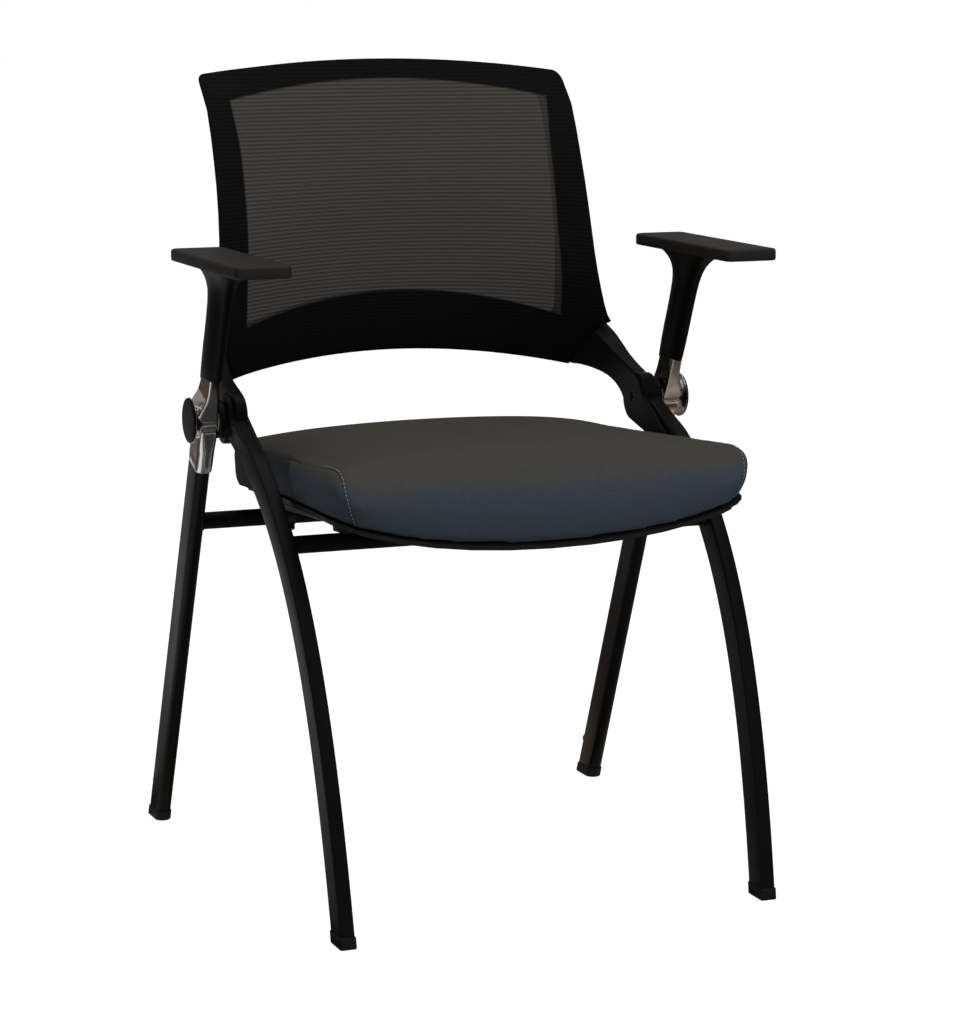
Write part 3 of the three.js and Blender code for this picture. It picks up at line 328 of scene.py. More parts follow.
def tube_section(grow=0.0, nose=1):
    """Section of the leg tube, width and depth, with its round nose on one side."""
    half, deep = LEG_WIDTH / 2 + grow, LEG_DEPTH / 2 + grow
    edge = EDGE_RADIUS + max(grow, 0)
    points = arc(0, deep - half, half, 0, 1, NOSE_STEPS)
    points += arc(edge - half, edge - deep, edge, 1, 0.5, EDGE_STEPS)
    points += arc(half - edge, edge - deep, edge, 1.5, 0.5, EDGE_STEPS)
    return [(across, nose * deep_at) for across, deep_at in points]


def tube_ring(centre, along, section, sideways, level=None):
    """The section at one place of a leg, square to it or cut level with the floor."""
    forward = Vector((0, along.z, -along.y))
    ring = []
    for across, deep in section:
        p = centre + forward * deep
        if level is not None:
            p = p + along * ((level - p.z) / along.z)
        ring.append(Vector((sideways(p.z) + across, p.y, p.z)))
    return ring


REAR_DOWN = Vector((0, sin(REAR_LEAN), -cos(REAR_LEAN)))
REAR_FOOT = PIVOT + REAR_DOWN * (PIVOT.z / cos(REAR_LEAN))


def rear_x(_):
    return REAR_X


rear_leg = skin([
    tube_ring(PIVOT + REAR_DOWN * SOCKET_DEPTH, REAR_DOWN, tube_section(), rear_x),
    tube_ring(REAR_FOOT, REAR_DOWN, tube_section(), rear_x, level=SOLE),
])
pair("rear_tube", rear_leg, powder_coat, "rear_frame", "rear_leg")

# Front legs: the same tube, flat side forward, bent from the pivot down to the floor and
# leaning in a little towards the feet.
FRONT_X, TOE_IN = 0.2445, 0.01
FRONT_FOOT = Vector((0, -0.27236, 0))
HIP_DIP, HIP_REACH = radians(17.1), 0.2136
SHIN_TILT, SHIN_REACH = radians(10.8), 0.2624
BEND_STEPS = 72
KNUCKLE_RADIUS = 0.027
LEG_START = KNUCKLE_RADIUS * 0.3
SLIM_FROM, SLIM_TO, SLIM_SHARE = 0.055, 0.11, 0.31

front_path = interpolate_bezier(
    PIVOT,
    PIVOT - Vector((0, cos(HIP_DIP), sin(HIP_DIP))) * HIP_REACH,
    FRONT_FOOT + Vector((0, sin(SHIN_TILT), cos(SHIN_TILT))) * SHIN_REACH,
    FRONT_FOOT,
    BEND_STEPS,
)


def front_x(height):
    return FRONT_X - TOE_IN * (1 - height / PIVOT.z)


def path_direction(path, i):
    return (path[min(i + 1, len(path) - 1)] - path[max(i - 1, 0)]).normalized()


def eased(value, low, high):
    """0 below low, 1 above high, and a soft step from one to the other."""
    share = min(max((value - low) / (high - low), 0), 1)
    return share * share * (3 - 2 * share)


def slimmed(section, centre):
    """The section with its flat side let in towards the knuckle, where the tube is pressed."""
    keep = 1 - SLIM_SHARE * (1 - eased((centre - PIVOT).length, SLIM_FROM, SLIM_TO))
    return [(across, deep * keep if deep > 0 else deep) for across, deep in section]


leg_rings = []
for i in range(BEND_STEPS - 1):
    centre, along = front_path[i], path_direction(front_path, i)
    if (centre - PIVOT).length > LEG_START:
        leg_rings.append(tube_ring(centre, along, slimmed(tube_section(nose=-1), centre), front_x))
shin_direction = path_direction(front_path, BEND_STEPS - 1)
leg_rings.append(tube_ring(FRONT_FOOT, shin_direction, tube_section(nose=-1), front_x, level=SOLE))
pair("front_tube", skin(leg_rings), powder_coat, "front_frame", "front_leg")

# Cross tubes: round steel tube in the same powder coat, welded between each pair of legs with a
# small bead at both ends. The seat hinges on the rear one and rests on the front one.
BEAD_RADIUS, BEAD_FALL, BEAD_LENGTH, BEAD_STEPS = 0.0115, 0.00208, 0.0026, 4
REAR_WELD, FRONT_WELD = 0.0003, 0.0005
REAR_BAR = Vector((0, 0.1127473, 0.373))
FRONT_BAR_HEIGHT = 0.383


def turned(profile, centre, steps=48, bm=None):
    """Spins a profile of radius and x about a line along X through a point, and merges its ends."""
    bm, (_, y, z) = bm or bmesh.new(), centre
    verts = [bm.verts.new((x, y + radius, z)) for radius, x in profile]
    edges = [bm.edges.new(two) for two in zip(verts, verts[1:])]
    bmesh.ops.spin(
        bm, geom=verts + edges, cent=(0, y, z), axis=(1, 0, 0),
        angle=2 * pi, steps=steps, use_merge=True,
    )
    bmesh.ops.remove_doubles(bm, verts=bm.verts, dist=1e-6)
    return bm


rear_half = REAR_X - LEG_WIDTH / 2 - REAR_WELD
front_half = front_x(FRONT_BAR_HEIGHT) - LEG_WIDTH / 2 - FRONT_WELD
front_bar_y = next(p.y for p in front_path if p.z < FRONT_BAR_HEIGHT)
front_bar = Vector((0, front_bar_y, FRONT_BAR_HEIGHT))
for end, half, centre in (("rear", rear_half, REAR_BAR), ("front", front_half, front_bar)):
    bead = []
    for run in [step / BEAD_STEPS for step in range(BEAD_STEPS + 1)]:
        fall = BEAD_FALL * (1 - cos(pi / 2 * run))
        bead.append((BEAD_RADIUS - fall, half - BEAD_LENGTH * run))
    far_bead = [(radius, -x) for radius, x in bead]
    bar = turned([(0, -half), *far_bead, *reversed(bead), (0, half)], centre)
    finished(f"{end}_cross_tube", bar, powder_coat, f"{end}_frame", f"{end}_crossbar")

# Glides: moulded rubber cups pushed over the tube ends, flat on the floor, with a rolled lip on
# top. Their soles keep the cut steel off the floor.
# height above the floor, and how far the cup stands out from the tube
GLIDE_LEVELS = [
    (0.012, -0.0004), (0.012, 0.0007), (0.0115, 0.0012), (0.011, 0.0013),
    (0.0014, 0.0013), (0.0005, 0.001), (0, 0.0004),
]

rubber = Finish(
    "black_rubber", "rubber", base_color=(0.008, 0.008, 0.009, 1), roughness=0.62, specular_ior_level=0.3,
)
rubber.roughness(60, 3, 0.5, 0.75)
rubber.relief(rubber.noise(1800, 1), 0.00005, 0.4)

for name, body, centre, along, sideways, nose, node in (
    ("rear_glide", "rear_frame", REAR_FOOT, REAR_DOWN, rear_x, 1, "rear_foot"),
    ("front_glide", "front_frame", FRONT_FOOT, shin_direction, front_x, -1, "front_foot"),
):
    glide = skin([
        tube_ring(centre, along, tube_section(grow, nose), sideways, level=height)
        for height, grow in GLIDE_LEVELS
    ])
    pair(name, glide, rubber, body, node, crease=50)

# Nest bumpers: moulded rubber studs fixed to the flat backs of the rear legs, low down. They stop
# the next chair of a nested row.
BUMPER_HEIGHT = 0.035
# radius, and height above the flat of the leg
BUMPER_PROFILE = [
    (0, 0.0003), (0.006, 0.0003), (0.006, 0.0052), (0.0056, 0.0063), (0.0047, 0.0069), (0, 0.007),
]

bumper = turned(BUMPER_PROFILE, Vector(), steps=28)
rear_back = Vector((0, cos(REAR_LEAN), sin(REAR_LEAN)))
bumper_seat = PIVOT.lerp(REAR_FOOT, 1 - BUMPER_HEIGHT / PIVOT.z) + rear_back * (LEG_DEPTH / 2)
turn_back = Matrix.Rotation(pi / 2, 4, "Z")
tip_up = Matrix.Rotation(REAR_LEAN, 4, "X")
to_seat = Matrix.Translation(bumper_seat + Vector((REAR_X, 0, 0)))
bmesh.ops.transform(bumper, matrix=to_seat @ tip_up @ turn_back, verts=bumper.verts)
pair("nest_stud", bumper, rubber, "rear_frame", "nest_bumper", crease=50)

# Pivot castings: polished zinc with a socket over the rear leg, a hub that flares out to the
# round cover, and a slim neck that goes up into the arm post. One blended skin, like a casting.
CAST_HALF, NECK_SHIFT = 0.0096, 0.0015
HUB_WAIST, HUB_RIM = 0.017, 0.025
HUB_START, HUB_RUN, HUB_OUTER = 0.278, 0.0096, 0.2885
# height up the leg, outer and inner half width, front and rear depth, corner radius
CAST_STATIONS = [
    (-0.0570, 0.0088, 0.0088, 0.0188, 0.0188, 0.0070),
    (-0.0564, 0.0094, 0.0094, 0.0194, 0.0194, 0.0076),
    (-0.0500, 0.0096, 0.0096, 0.0197, 0.0197, 0.0078),
    (-0.0300, 0.0096, 0.0096, 0.0197, 0.0197, 0.0070),
    (-0.0186, 0.0096, 0.0096, 0.0197, 0.0197, 0.0048),
    (-0.0070, 0.0096, 0.0096, 0.0197, 0.0197, 0.0028),
    (-0.0046, 0.0098, 0.0096, 0.0194, 0.0197, 0.0028),
    (-0.0034, 0.0104, 0.0096, 0.0182, 0.0197, 0.0028),
    (-0.0028, 0.0142, 0.0096, 0.0163, 0.0197, 0.0026),
    (0.0030, 0.0145, 0.0096, 0.0160, 0.0197, 0.0024),
    (0.0080, 0.0142, 0.0096, 0.0160, 0.0195, 0.0024),
    (0.0130, 0.0134, 0.0094, 0.0160, 0.0190, 0.0024),
    (0.0170, 0.0123, 0.0091, 0.0160, 0.0184, 0.0024),
    (0.0210, 0.0108, 0.0088, 0.0160, 0.0179, 0.0024),
    (0.0250, 0.0090, 0.0086, 0.0160, 0.0174, 0.0024),
    (0.0310, 0.0070, 0.0085, 0.0160, 0.0168, 0.0024),
    (0.0400, 0.0058, 0.0085, 0.0160, 0.0162, 0.0024),
    (0.0560, 0.0055, 0.0085, 0.0160, 0.0160, 0.0024),
    (0.0740, 0.0055, 0.0085, 0.0160, 0.0160, 0.0024),
]
# share of the flare's run outward and of its rise from waist to rim
HUB_FLARE = [(0, 0), (0.35, 0.06), (0.6, 0.2), (0.75, 0.38), (0.86, 0.6), (0.94, 0.85), (1, 1)]
CORNER_STEPS, EASE_ROUNDS = 5, 5
CAST_VOXEL = 0.00075

chrome = Finish(
    "polished_zinc", "polished_casting", base_color=(0.74, 0.73, 0.72, 1), metallic=1.0, roughness=0.12,
)
chrome.roughness(90, 4, 0.07, 0.19)
chrome.relief(chrome.noise(34, 1), 0.003, 0.22)


def rounded_box(low_x, high_x, low_y, high_y, radius):
    """Corners of a rectangle with rounded corners, in order round it."""
    left, right, low, high = low_x + radius, high_x - radius, low_y + radius, high_y - radius
    points = []
    for quarter, (x, y) in enumerate(((right, high), (left, high), (left, low), (right, low))):
        points += arc(x, y, radius, quarter / 2, 0.5, CORNER_STEPS)
    return points


def rough_object(bm):
    """A working object of a bmesh, kept only while its modifiers are applied."""
    bmesh.ops.recalc_face_normals(bm, faces=bm.faces)
    return placed("rough_form", bm)


def read_back(bm, rough, *tools):
    """Takes a working object's final shape into its bmesh, and clears it and its tools away."""
    final = rough.evaluated_get(bpy.context.evaluated_depsgraph_get())
    bm.clear()
    bm.from_mesh(bpy.data.meshes.new_from_object(final))
    for used in (rough, *tools):
        bpy.data.objects.remove(used)


def blended(bm, voxel, rounds, cutters=()):
    """Makes one even closed skin of overlapping closed forms, cuts it and eases its corners."""
    rough = rough_object(bm)
    tools = [rough_object(cutter) for cutter in cutters]
    rough.modifiers.new("even", "REMESH").voxel_size = voxel
    for tool in tools:
        carve = rough.modifiers.new("carve", "BOOLEAN")
        carve.operation, carve.solver, carve.object = "DIFFERENCE", "EXACT", tool
    if tools:
        rough.modifiers.new("even_again", "REMESH").voxel_size = voxel
    ease = rough.modifiers.new("ease", "SMOOTH")
    ease.factor, ease.iterations = 0.5, rounds
    read_back(bm, rough, *tools)


rear_up = -REAR_DOWN
cast_rings = []
for height, outer, inner, front, rear, corner in CAST_STATIONS:
    ring = rounded_box(-inner, outer, -rear, front, corner)
    at = PIVOT + rear_up * height
    cast_rings.append([at + Vector((REAR_X + u, 0, 0)) - rear_back * v for u, v in ring])
casting = skin(cast_rings)
CAST_INNER = REAR_X - CAST_HALF
hub_rise = HUB_RIM - HUB_WAIST
hub_flare = [(HUB_WAIST + hub_rise * rise, HUB_START + HUB_RUN * run) for run, rise in HUB_FLARE]
turned([
    (0, CAST_INNER), (HUB_WAIST - 0.0005, CAST_INNER), (HUB_WAIST, CAST_INNER + 0.0006), *hub_flare,
    (HUB_RIM, HUB_OUTER - 0.0004), (HUB_RIM - 0.0004, HUB_OUTER), (0, HUB_OUTER),
], PIVOT, steps=64, bm=casting)
blended(casting, CAST_VOXEL, EASE_ROUNDS)
pair("hub_casting", casting, chrome, "rear_frame", "joint_casting", crease=60)

# Hub covers: black moulded discs, slightly domed with a round edge. A stem on the back of each
# is pressed into the hub, over the axle's head.
CAP_RADIUS, CAP_STEM, CAP_DEPTH, CAP_HEIGHT = 0.0243, 0.0141, 0.004, 0.0018
# inset from the rim and height above the hub, up over the rounded edge
CAP_EDGE = [(0.0003, 0), (0, 0.0003), (0, 0.0008), (0.0003, 0.0012), (0.0011, 0.0015), (0.005, 0.0017)]

moulded = Finish(
    "moulded_black_plastic", "black_plastic",
    base_color=(0.004, 0.0038, 0.0037, 1), roughness=0.45, specular_ior_level=0.14,
)
moulded.roughness(35, 3, 0.38, 0.54)
moulded.relief(moulded.noise(2600, 1), 0.00005, 0.5)

cap_face = HUB_OUTER + 0.0003
cap = turned([
    (0, cap_face - CAP_DEPTH), (CAP_STEM, cap_face - CAP_DEPTH), (CAP_STEM, cap_face),
    *((CAP_RADIUS - inset, cap_face + height) for inset, height in CAP_EDGE), (0, cap_face + CAP_HEIGHT),
], PIVOT, steps=72)
pair("hub_cover", cap, moulded, "rear_frame", "pivot_cap")

# Bushes, washers and hinge sleeves: turned nylon. The bushes and washers are natural and hidden
# in the hubs. The sleeves are black and sit on the rear cross tube, in the seat rails' eyes.
nylon = Finish("natural_nylon", "nylon", base_color=(0.72, 0.7, 0.64, 1), roughness=0.4)
nylon.roughness(60, 2, 0.35, 0.5)
black_nylon = Finish("black_nylon", "nylon", base_color=(0.014, 0.0135, 0.013, 1), roughness=0.5)
black_nylon.roughness(60, 2, 0.42, 0.6)


def coated(finish, *nodes, sides=("_l", "_r")):
    """Gives CAD solids a finish and leaves their shape alone."""
    for node in nodes:
        for side in sides:
            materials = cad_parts[node + side].data.materials
            materials.clear()
            materials.append(finish.material)


coated(nylon, "pivot_bush", "pivot_washer")
coated(black_nylon, "hinge_sleeve")

# Arm posts: moulded columns of oval section on the castings' necks, with a curved lower lip,
# flared fore and aft into a broad head under the pad.
POST_FOOT, POST_TOP = 0.5355, 0.6627
POST_HALF_WIDTH, POST_HALF_DEPTH = 0.0107, 0.023
POST_X = REAR_X - NECK_SHIFT
POST_SIDES = 48
LIP_RISE, LIP_FADE = 0.0045, 14
# share of the height, extra reach forward and rearward, and width, each as a share
POST_LEVELS = [
    (0, 0, 0.03, 0.9), (0.02, 0, 0.05, 0.94), (0.15, 0, 0.12, 0.99), (0.3, 0, 0.13, 1.03),
    (0.45, 0, 0.1, 1.04), (0.55, 0, 0.09, 1.06), (0.63, 0.02, 0.1, 1.08), (0.7, 0.06, 0.13, 1.1),
    (0.76, 0.14, 0.19, 1.15), (0.81, 0.25, 0.3, 1.21), (0.86, 0.44, 0.52, 1.33), (0.9, 0.7, 0.8, 1.47),
    (0.93, 0.98, 1.12, 1.6), (0.96, 1.42, 1.56, 1.78), (0.98, 1.75, 1.9, 1.9), (1, 1.95, 2.1, 2),
]


def around(count):
    """Cosine and sine of even steps round one full turn."""
    return arc(0, 0, 1, 0, 2, count)[:-1]


post_rings = []
for share, front, rear, wide in POST_LEVELS:
    z = POST_FOOT + (POST_TOP - POST_FOOT) * share
    y = PIVOT.y - (z - PIVOT.z) * tan(REAR_LEAN)
    ring = []
    for across, back in around(POST_SIDES):
        reach = POST_HALF_DEPTH * (1 + (front if back < 0 else rear))
        lip = LIP_RISE * (1 - share) ** LIP_FADE * across ** 2
        ring.append((POST_X + wide * POST_HALF_WIDTH * across, y + reach * back, z + lip))
    post_rings.append(ring)
pair("arm_column", skin(post_rings), moulded, "rear_frame", "arm_post", crease=50)

# Arm pads: slabs of foam moulded with their own pebbled skin, fixed on the posts' heads.
# Their edges are soft, the top has a faint crown and the front end is bowed.
PAD_CENTRE = Vector((0.2715, -0.036, 0.6622))
PAD_HALF_WIDTH, PAD_HALF_LENGTH = 0.03, 0.12
PAD_CORNER, LEAST_CORNER, PAD_BOW = 0.0065, 0.001, 0.0022
# inset from the outline and height above the underside
PAD_LEVELS = [
    (0.0028, 0), (0.0012, 0.0003), (0.0004, 0.0012), (0, 0.0028), (0, 0.0098), (0.0003, 0.0112),
    (0.001, 0.0123), (0.0022, 0.0129), (0.0045, 0.01325), (0.01, 0.0136), (0.018, 0.0139),
]

pad_skin = Finish(
    "pebbled_foam_skin", "soft_pad",
    base_color=(0.03, 0.027, 0.025, 1), roughness=0.62, specular_ior_level=0.3,
)
pebble = pad_skin.node("ShaderNodeTexVoronoi", None, {"Vector": pad_skin.place(), "Scale": 900})
pad_skin.colour(30, 3, (0.015, 0.0138, 0.013), (0.022, 0.0202, 0.019))
pad_skin.roughness(45, 3, 0.52, 0.68)
pad_skin.relief(pebble, 0.00015, 0.5)

pad_rings = []
for inset, height in PAD_LEVELS:
    half_x, half_y = PAD_HALF_WIDTH - inset, PAD_HALF_LENGTH - inset
    ring = []
    for x, y in rounded_box(-half_x, half_x, -half_y, half_y, max(PAD_CORNER - inset / 2, LEAST_CORNER)):
        bowed = PAD_BOW * (1 - (x / half_x) ** 2) if y < 0 else 0
        ring.append(PAD_CENTRE + Vector((x, y - bowed, height)))
    pad_rings.append(ring)
pair("arm_cushion", skin(pad_rings), pad_skin, "rear_frame", "arm_pad", crease=60)

# Knuckles: turned steel discs welded in the front legs' upper ends and coated with them. A boss
# on the outside of each bears on the casting.
LEG_INNER, LEG_OUTER = FRONT_X - LEG_WIDTH / 2, FRONT_X + LEG_WIDTH / 2
BOSS_RADIUS, BOSS_FACE, BOSS_FILLET, BOSS_EDGE = 0.0205, 0.2596, 0.001, 0.0005
# inset from the rim and depth below the face, over a rounded edge of the disc
KNUCKLE_EDGE = [(0.0012, 0), (0.0004, 0.0004), (0, 0.0012)]

knuckle = turned([
    (0, LEG_INNER),
    *((KNUCKLE_RADIUS - inset, LEG_INNER + depth) for inset, depth in KNUCKLE_EDGE),
    *((KNUCKLE_RADIUS - inset, LEG_OUTER - depth) for inset, depth in reversed(KNUCKLE_EDGE)),
    (BOSS_RADIUS + BOSS_FILLET, LEG_OUTER), (BOSS_RADIUS, LEG_OUTER + BOSS_FILLET),
    (BOSS_RADIUS, BOSS_FACE - BOSS_EDGE), (BOSS_RADIUS - BOSS_EDGE, BOSS_FACE), (0, BOSS_FACE),
], PIVOT, steps=72)
pair("leg_boss", knuckle, powder_coat, "front_frame", "leg_knuckle")

# Axles and seat screws: turned and cold-headed steel, zinc-plated. The axles are hidden in the
# hubs, and the screws' heads show only under the seat.
plated = Finish("zinc_plate", "zinc_steel", base_color=(0.42, 0.36, 0.29, 1), metallic=1.0, roughness=0.42)
plated.roughness(220, 4, 0.28, 0.5)
plated.colour(40, 3, (0.22, 0.195, 0.165), (0.3, 0.265, 0.225))
coated(plated, "pivot_axle", "seat_screw_1", "seat_screw_2")

# Back frame: one moulding. A bowed ring carries the mesh, and two blades run down and forward
# from its lower corners to flat plates that lie on the knuckles.
BACK_TOP, CORNER_TOP, CORNER_HALF = 0.868, 0.8535, 0.21
BACK_HALF, WAIST, SHOULDER_HALF, SHOULDER = 0.2185, 0.741, 0.219, 0.842
FLARE_HALF, FLARE_HEIGHT = 0.2405, 0.569
BAND_BOTTOM, BAND_HALF, BAND_HEIGHT = 0.538, 0.204, 0.517
SEAM_BEND, FLARE_BEND, CORNER_BEND = (0.213, 0.554), (0.222, 0.588), (0.2188, 0.8525)
LUMBAR_HEIGHT, LUMBAR_Y = 0.64, PIVOT.y + 0.1065
BACK_RADIUS, SAG_LOW, SAG_HIGH = 0.327, 0.038, 0.016
WINDOW_HALF, WINDOW_TOP, WINDOW_SHOULDER = 0.188, 0.8465, 0.827
WINDOW_BOTTOM, WINDOW_FOOT, WINDOW_CORNER = 0.6075, 0.578, 0.007
CORNER_SWEEP, SIDE_SWEEP, FLARE_WRAP = 0.018, 0.002, 0.012
CURVE_STEPS = 12


def back_face(x, z):
    """How far back the front of the mesh lies at a place seen from the front."""
    side = abs(x)
    sag = SAG_LOW + (SAG_HIGH - SAG_LOW) * eased(z, LUMBAR_HEIGHT, WINDOW_TOP)
    y = LUMBAR_Y + (z - LUMBAR_HEIGHT) ** 2 / (2 * BACK_RADIUS) + sag * (1 - (x / WINDOW_HALF) ** 2)
    y += CORNER_SWEEP * eased(side, 0.14, 0.215) * eased(z, 0.818, 0.86)
    y += SIDE_SWEEP * eased(side, 0.1, 0.19) * eased(z, 0.64, 0.7) * (1 - eased(z, 0.75, 0.81))
    return y - FLARE_WRAP * eased(side, 0.17, 0.24) * (1 - eased(z, 0.58, 0.66))


def curve(start, first, second, end):
    """Points along one cubic curve, its last left out for the next curve to start at."""
    points = [Vector((*p, 0)) for p in (start, first, second, end)]
    return [(p.x, p.y) for p in interpolate_bezier(*points, CURVE_STEPS + 1)][:-1]


def bow(start, bend, end):
    """Points along a curve with one bend point."""
    first = [s + (b - s) * 2 / 3 for s, b in zip(start, bend)]
    second = [e + (b - e) * 2 / 3 for e, b in zip(end, bend)]
    return curve(start, first, second, end)


def both_halves(half, end):
    return half + [end] + [(-x, z) for x, z in reversed(half[1:])]


back_outline = both_halves(
    bow((0, BAND_BOTTOM), (BAND_HALF / 2, BAND_BOTTOM), (BAND_HALF, BAND_HEIGHT))
    + bow((BAND_HALF, BAND_HEIGHT), SEAM_BEND, (FLARE_HALF, FLARE_HEIGHT))
    + curve((FLARE_HALF, FLARE_HEIGHT), FLARE_BEND, (BACK_HALF, WAIST), (SHOULDER_HALF, SHOULDER))
    + bow((SHOULDER_HALF, SHOULDER), CORNER_BEND, (CORNER_HALF, CORNER_TOP))
    + bow((CORNER_HALF, CORNER_TOP), (CORNER_HALF / 2, BACK_TOP), (0, BACK_TOP)),
    (0, BACK_TOP),
)
window_side = WINDOW_HALF - WINDOW_CORNER
low_side, high_side = WINDOW_FOOT + WINDOW_CORNER, WINDOW_SHOULDER - WINDOW_CORNER
window_outline = both_halves(
    bow((0, WINDOW_BOTTOM), (window_side / 2, WINDOW_BOTTOM), (window_side, WINDOW_FOOT))
    + bow((window_side, WINDOW_FOOT), (WINDOW_HALF, WINDOW_FOOT), (WINDOW_HALF, low_side))
    + curve(*[(WINDOW_HALF, z) for z in (low_side, LUMBAR_HEIGHT, WAIST, high_side)])
    + bow((WINDOW_HALF, high_side), (WINDOW_HALF, WINDOW_SHOULDER), (window_side, WINDOW_SHOULDER))
    + bow((window_side, WINDOW_SHOULDER), (window_side / 2, WINDOW_TOP), (0, WINDOW_TOP)),
    (0, WINDOW_TOP),
)


def back_ring(share, depth):
    """A ring a share of the way from outline to window, at a depth behind the mesh's face."""
    ring = []
    for (ox, oz), (wx, wz) in zip(back_outline, window_outline):
        x, z = ox + (wx - ox) * share, oz + (wz - oz) * share
        ring.append(Vector((x, back_face(x, z) + depth, z)))
    return ring


# share of the way from outline to window, and depth behind the mesh
RING_SECTION = [
    (0.035, 0.0062), (0.045, 0.004), (0.075, 0.0022), (0.15, 0.0015), (0.35, 0.0015), (0.6, 0.0015),
    (0.9, 0.0015), (0.97, 0.002), (1, 0.004), (1, 0.012), (1, 0.0185), (0.97, 0.0205),
    (0.9, 0.0215), (0.6, 0.0215), (0.36, 0.0215), (0.29, 0.0205), (0.12, 0.014),
]
ring_frame = skin([back_ring(share, depth) for share, depth in RING_SECTION], close=True)

ARM_SLOPE = radians(39)
ARM_STEPS, ARM_CORNER, ARM_VOXEL = 26, 0.08, 0.0008
PLATE_INNER, PLATE_OUTER, ARM_INNER, ARM_OUTER = 0.2308, 0.2362, 0.2322, 0.2466
PLATE_RADIUS, TONGUE_LENGTH, TONGUE_HALF = 0.0265, 0.096, 0.007
TONGUE_STEPS, DISC_STEPS = 10, 44
HUMP_RUN, HUMP_RISE, HUMP_RADIUS, HUMP_EDGE = -0.003, 0.008, 0.0242, 0.0014
DRUM_RADIUS, DRUM_END = 0.0273, 0.3
HOLE_RADIUS, HOLE_START, HOLE_END = 0.0048, 0.21, 0.2344
SLEEVE_ROOM, ROOM_DEPTH, ROOM_FROM = 0.001, 0.06, 0.45
ROOM_SHARES = [1.0, 0.9, 0.7, 0.5, 0.3, 0.15, 0.0]
# run along the arm, lower and upper edge, then inner and outer face low down and high up
ARM_STATIONS = [
    (0.004, -0.0210, 0.0275, 0.2308, 0.2466, 0.2308, 0.2466),
    (0.014, -0.0200, 0.0252, 0.2308, 0.2466, 0.2308, 0.2466),
    (0.032, -0.0186, 0.0180, 0.2296, 0.2464, 0.2308, 0.2468),
    (0.048, -0.0207, 0.0120, 0.2270, 0.2448, 0.2302, 0.2470),
    (0.064, -0.0262, 0.0070, 0.2226, 0.2420, 0.2288, 0.2472),
    (0.082, -0.0352, 0.0032, 0.2156, 0.2376, 0.2262, 0.2474),
    (0.098, -0.0458, 0.0006, 0.2090, 0.2320, 0.2230, 0.2468),
    (0.112, -0.0566, -0.0008, 0.2034, 0.2250, 0.2190, 0.2436),
    (0.130, -0.0560, -0.0030, 0.1980, 0.2170, 0.2100, 0.2400),
]
arm_along = Vector((0, cos(ARM_SLOPE), sin(ARM_SLOPE)))
arm_across = Vector((0, -sin(ARM_SLOPE), cos(ARM_SLOPE)))


def between_stations(stations, run):
    """A station at any run, smoothly between the listed ones."""
    runs = [row[0] for row in stations]
    k = max(i for i in range(len(runs) - 1) if runs[i] <= run + 1e-9)
    before, after = stations[max(k - 1, 0)], stations[min(k + 2, len(runs) - 1)]
    low, high = stations[k], stations[k + 1]
    t = (run - low[0]) / (high[0] - low[0])
    row = []
    for a, b, c, d in zip(before, low, high, after):
        slope, bend, twist = c - a, 2 * a - 5 * b + 4 * c - d, 3 * b - a - 3 * c + d
        row.append(0.5 * (2 * b + slope * t + bend * t * t + twist * t ** 3))
    return row


arm_rings = []
for i in range(ARM_STEPS + 1):
    run = ARM_STATIONS[0][0] + (ARM_STATIONS[-1][0] - ARM_STATIONS[0][0]) * i / ARM_STEPS
    _, low, high, low_in, low_out, high_in, high_out = between_stations(ARM_STATIONS, run)
    ring = []
    for across, up in rounded_box(0, 1, 0, 1, ARM_CORNER):
        inner, outer = low_in + (high_in - low_in) * up, low_out + (high_out - low_out) * up
        p = PIVOT + arm_along * run + arm_across * (low + (high - low) * up)
        ring.append(p + Vector((inner + (outer - inner) * across, 0, 0)))
    arm_rings.append(ring)
arm = skin(arm_rings)

strides = [(q - p).length for p, q in zip(front_path, front_path[1:])]
tip_at = next(i for i in range(BEND_STEPS) if sum(strides[:i]) > TONGUE_LENGTH)
tongue_tip = front_path[tip_at] - PIVOT
plate_outline = arc(0, 0, PLATE_RADIUS, -0.45, 1.38, DISC_STEPS)
plate_outline += arc(tongue_tip.y, tongue_tip.z, TONGUE_HALF, 0.78, 0.82, TONGUE_STEPS)
plate_rings = []
for x in (PLATE_INNER, PLATE_OUTER):
    ring = [PIVOT + Vector((x, y, z)) for y, z in plate_outline]
    plate_rings.append([p + Vector((min(front_x(p.z) - FRONT_X, 0), 0, 0)) for p in ring])
skin(plate_rings, bm=arm)

hump = PIVOT + arm_along * HUMP_RUN + arm_across * HUMP_RISE
turned([
    (0, ARM_INNER), (HUMP_RADIUS - HUMP_EDGE, ARM_INNER), (HUMP_RADIUS, ARM_INNER + HUMP_EDGE),
    (HUMP_RADIUS, ARM_OUTER - HUMP_EDGE), (HUMP_RADIUS - HUMP_EDGE, ARM_OUTER), (0, ARM_OUTER),
], hump, steps=64, bm=arm)

cutters = []
for radius, start, end in ((DRUM_RADIUS, PLATE_OUTER, DRUM_END), (HOLE_RADIUS, HOLE_START, HOLE_END)):
    cutters.append(turned([(0, start), (radius, start), (radius, end), (0, end)], PIVOT))
sleeve_room = [back_ring(ROOM_FROM + (1 - ROOM_FROM) * share, -ROOM_DEPTH) for share in ROOM_SHARES]
sleeve_room += [back_ring(share, SLEEVE_ROOM) for share in reversed(ROOM_SHARES)]
blended(arm, ARM_VOXEL, EASE_ROUNDS, [*cutters, skin(sleeve_room)])
pair("arm_blade", arm, moulded, "front_frame", crease=60)

# Arm screws: zinc-plated steel with socket heads, driven through the arms' plates into the axles.
# They are sunk in holes over the pivots, in shadow at the bottom, and their colour is painted dark for
# that shade.
SCREW_SIDES = 48
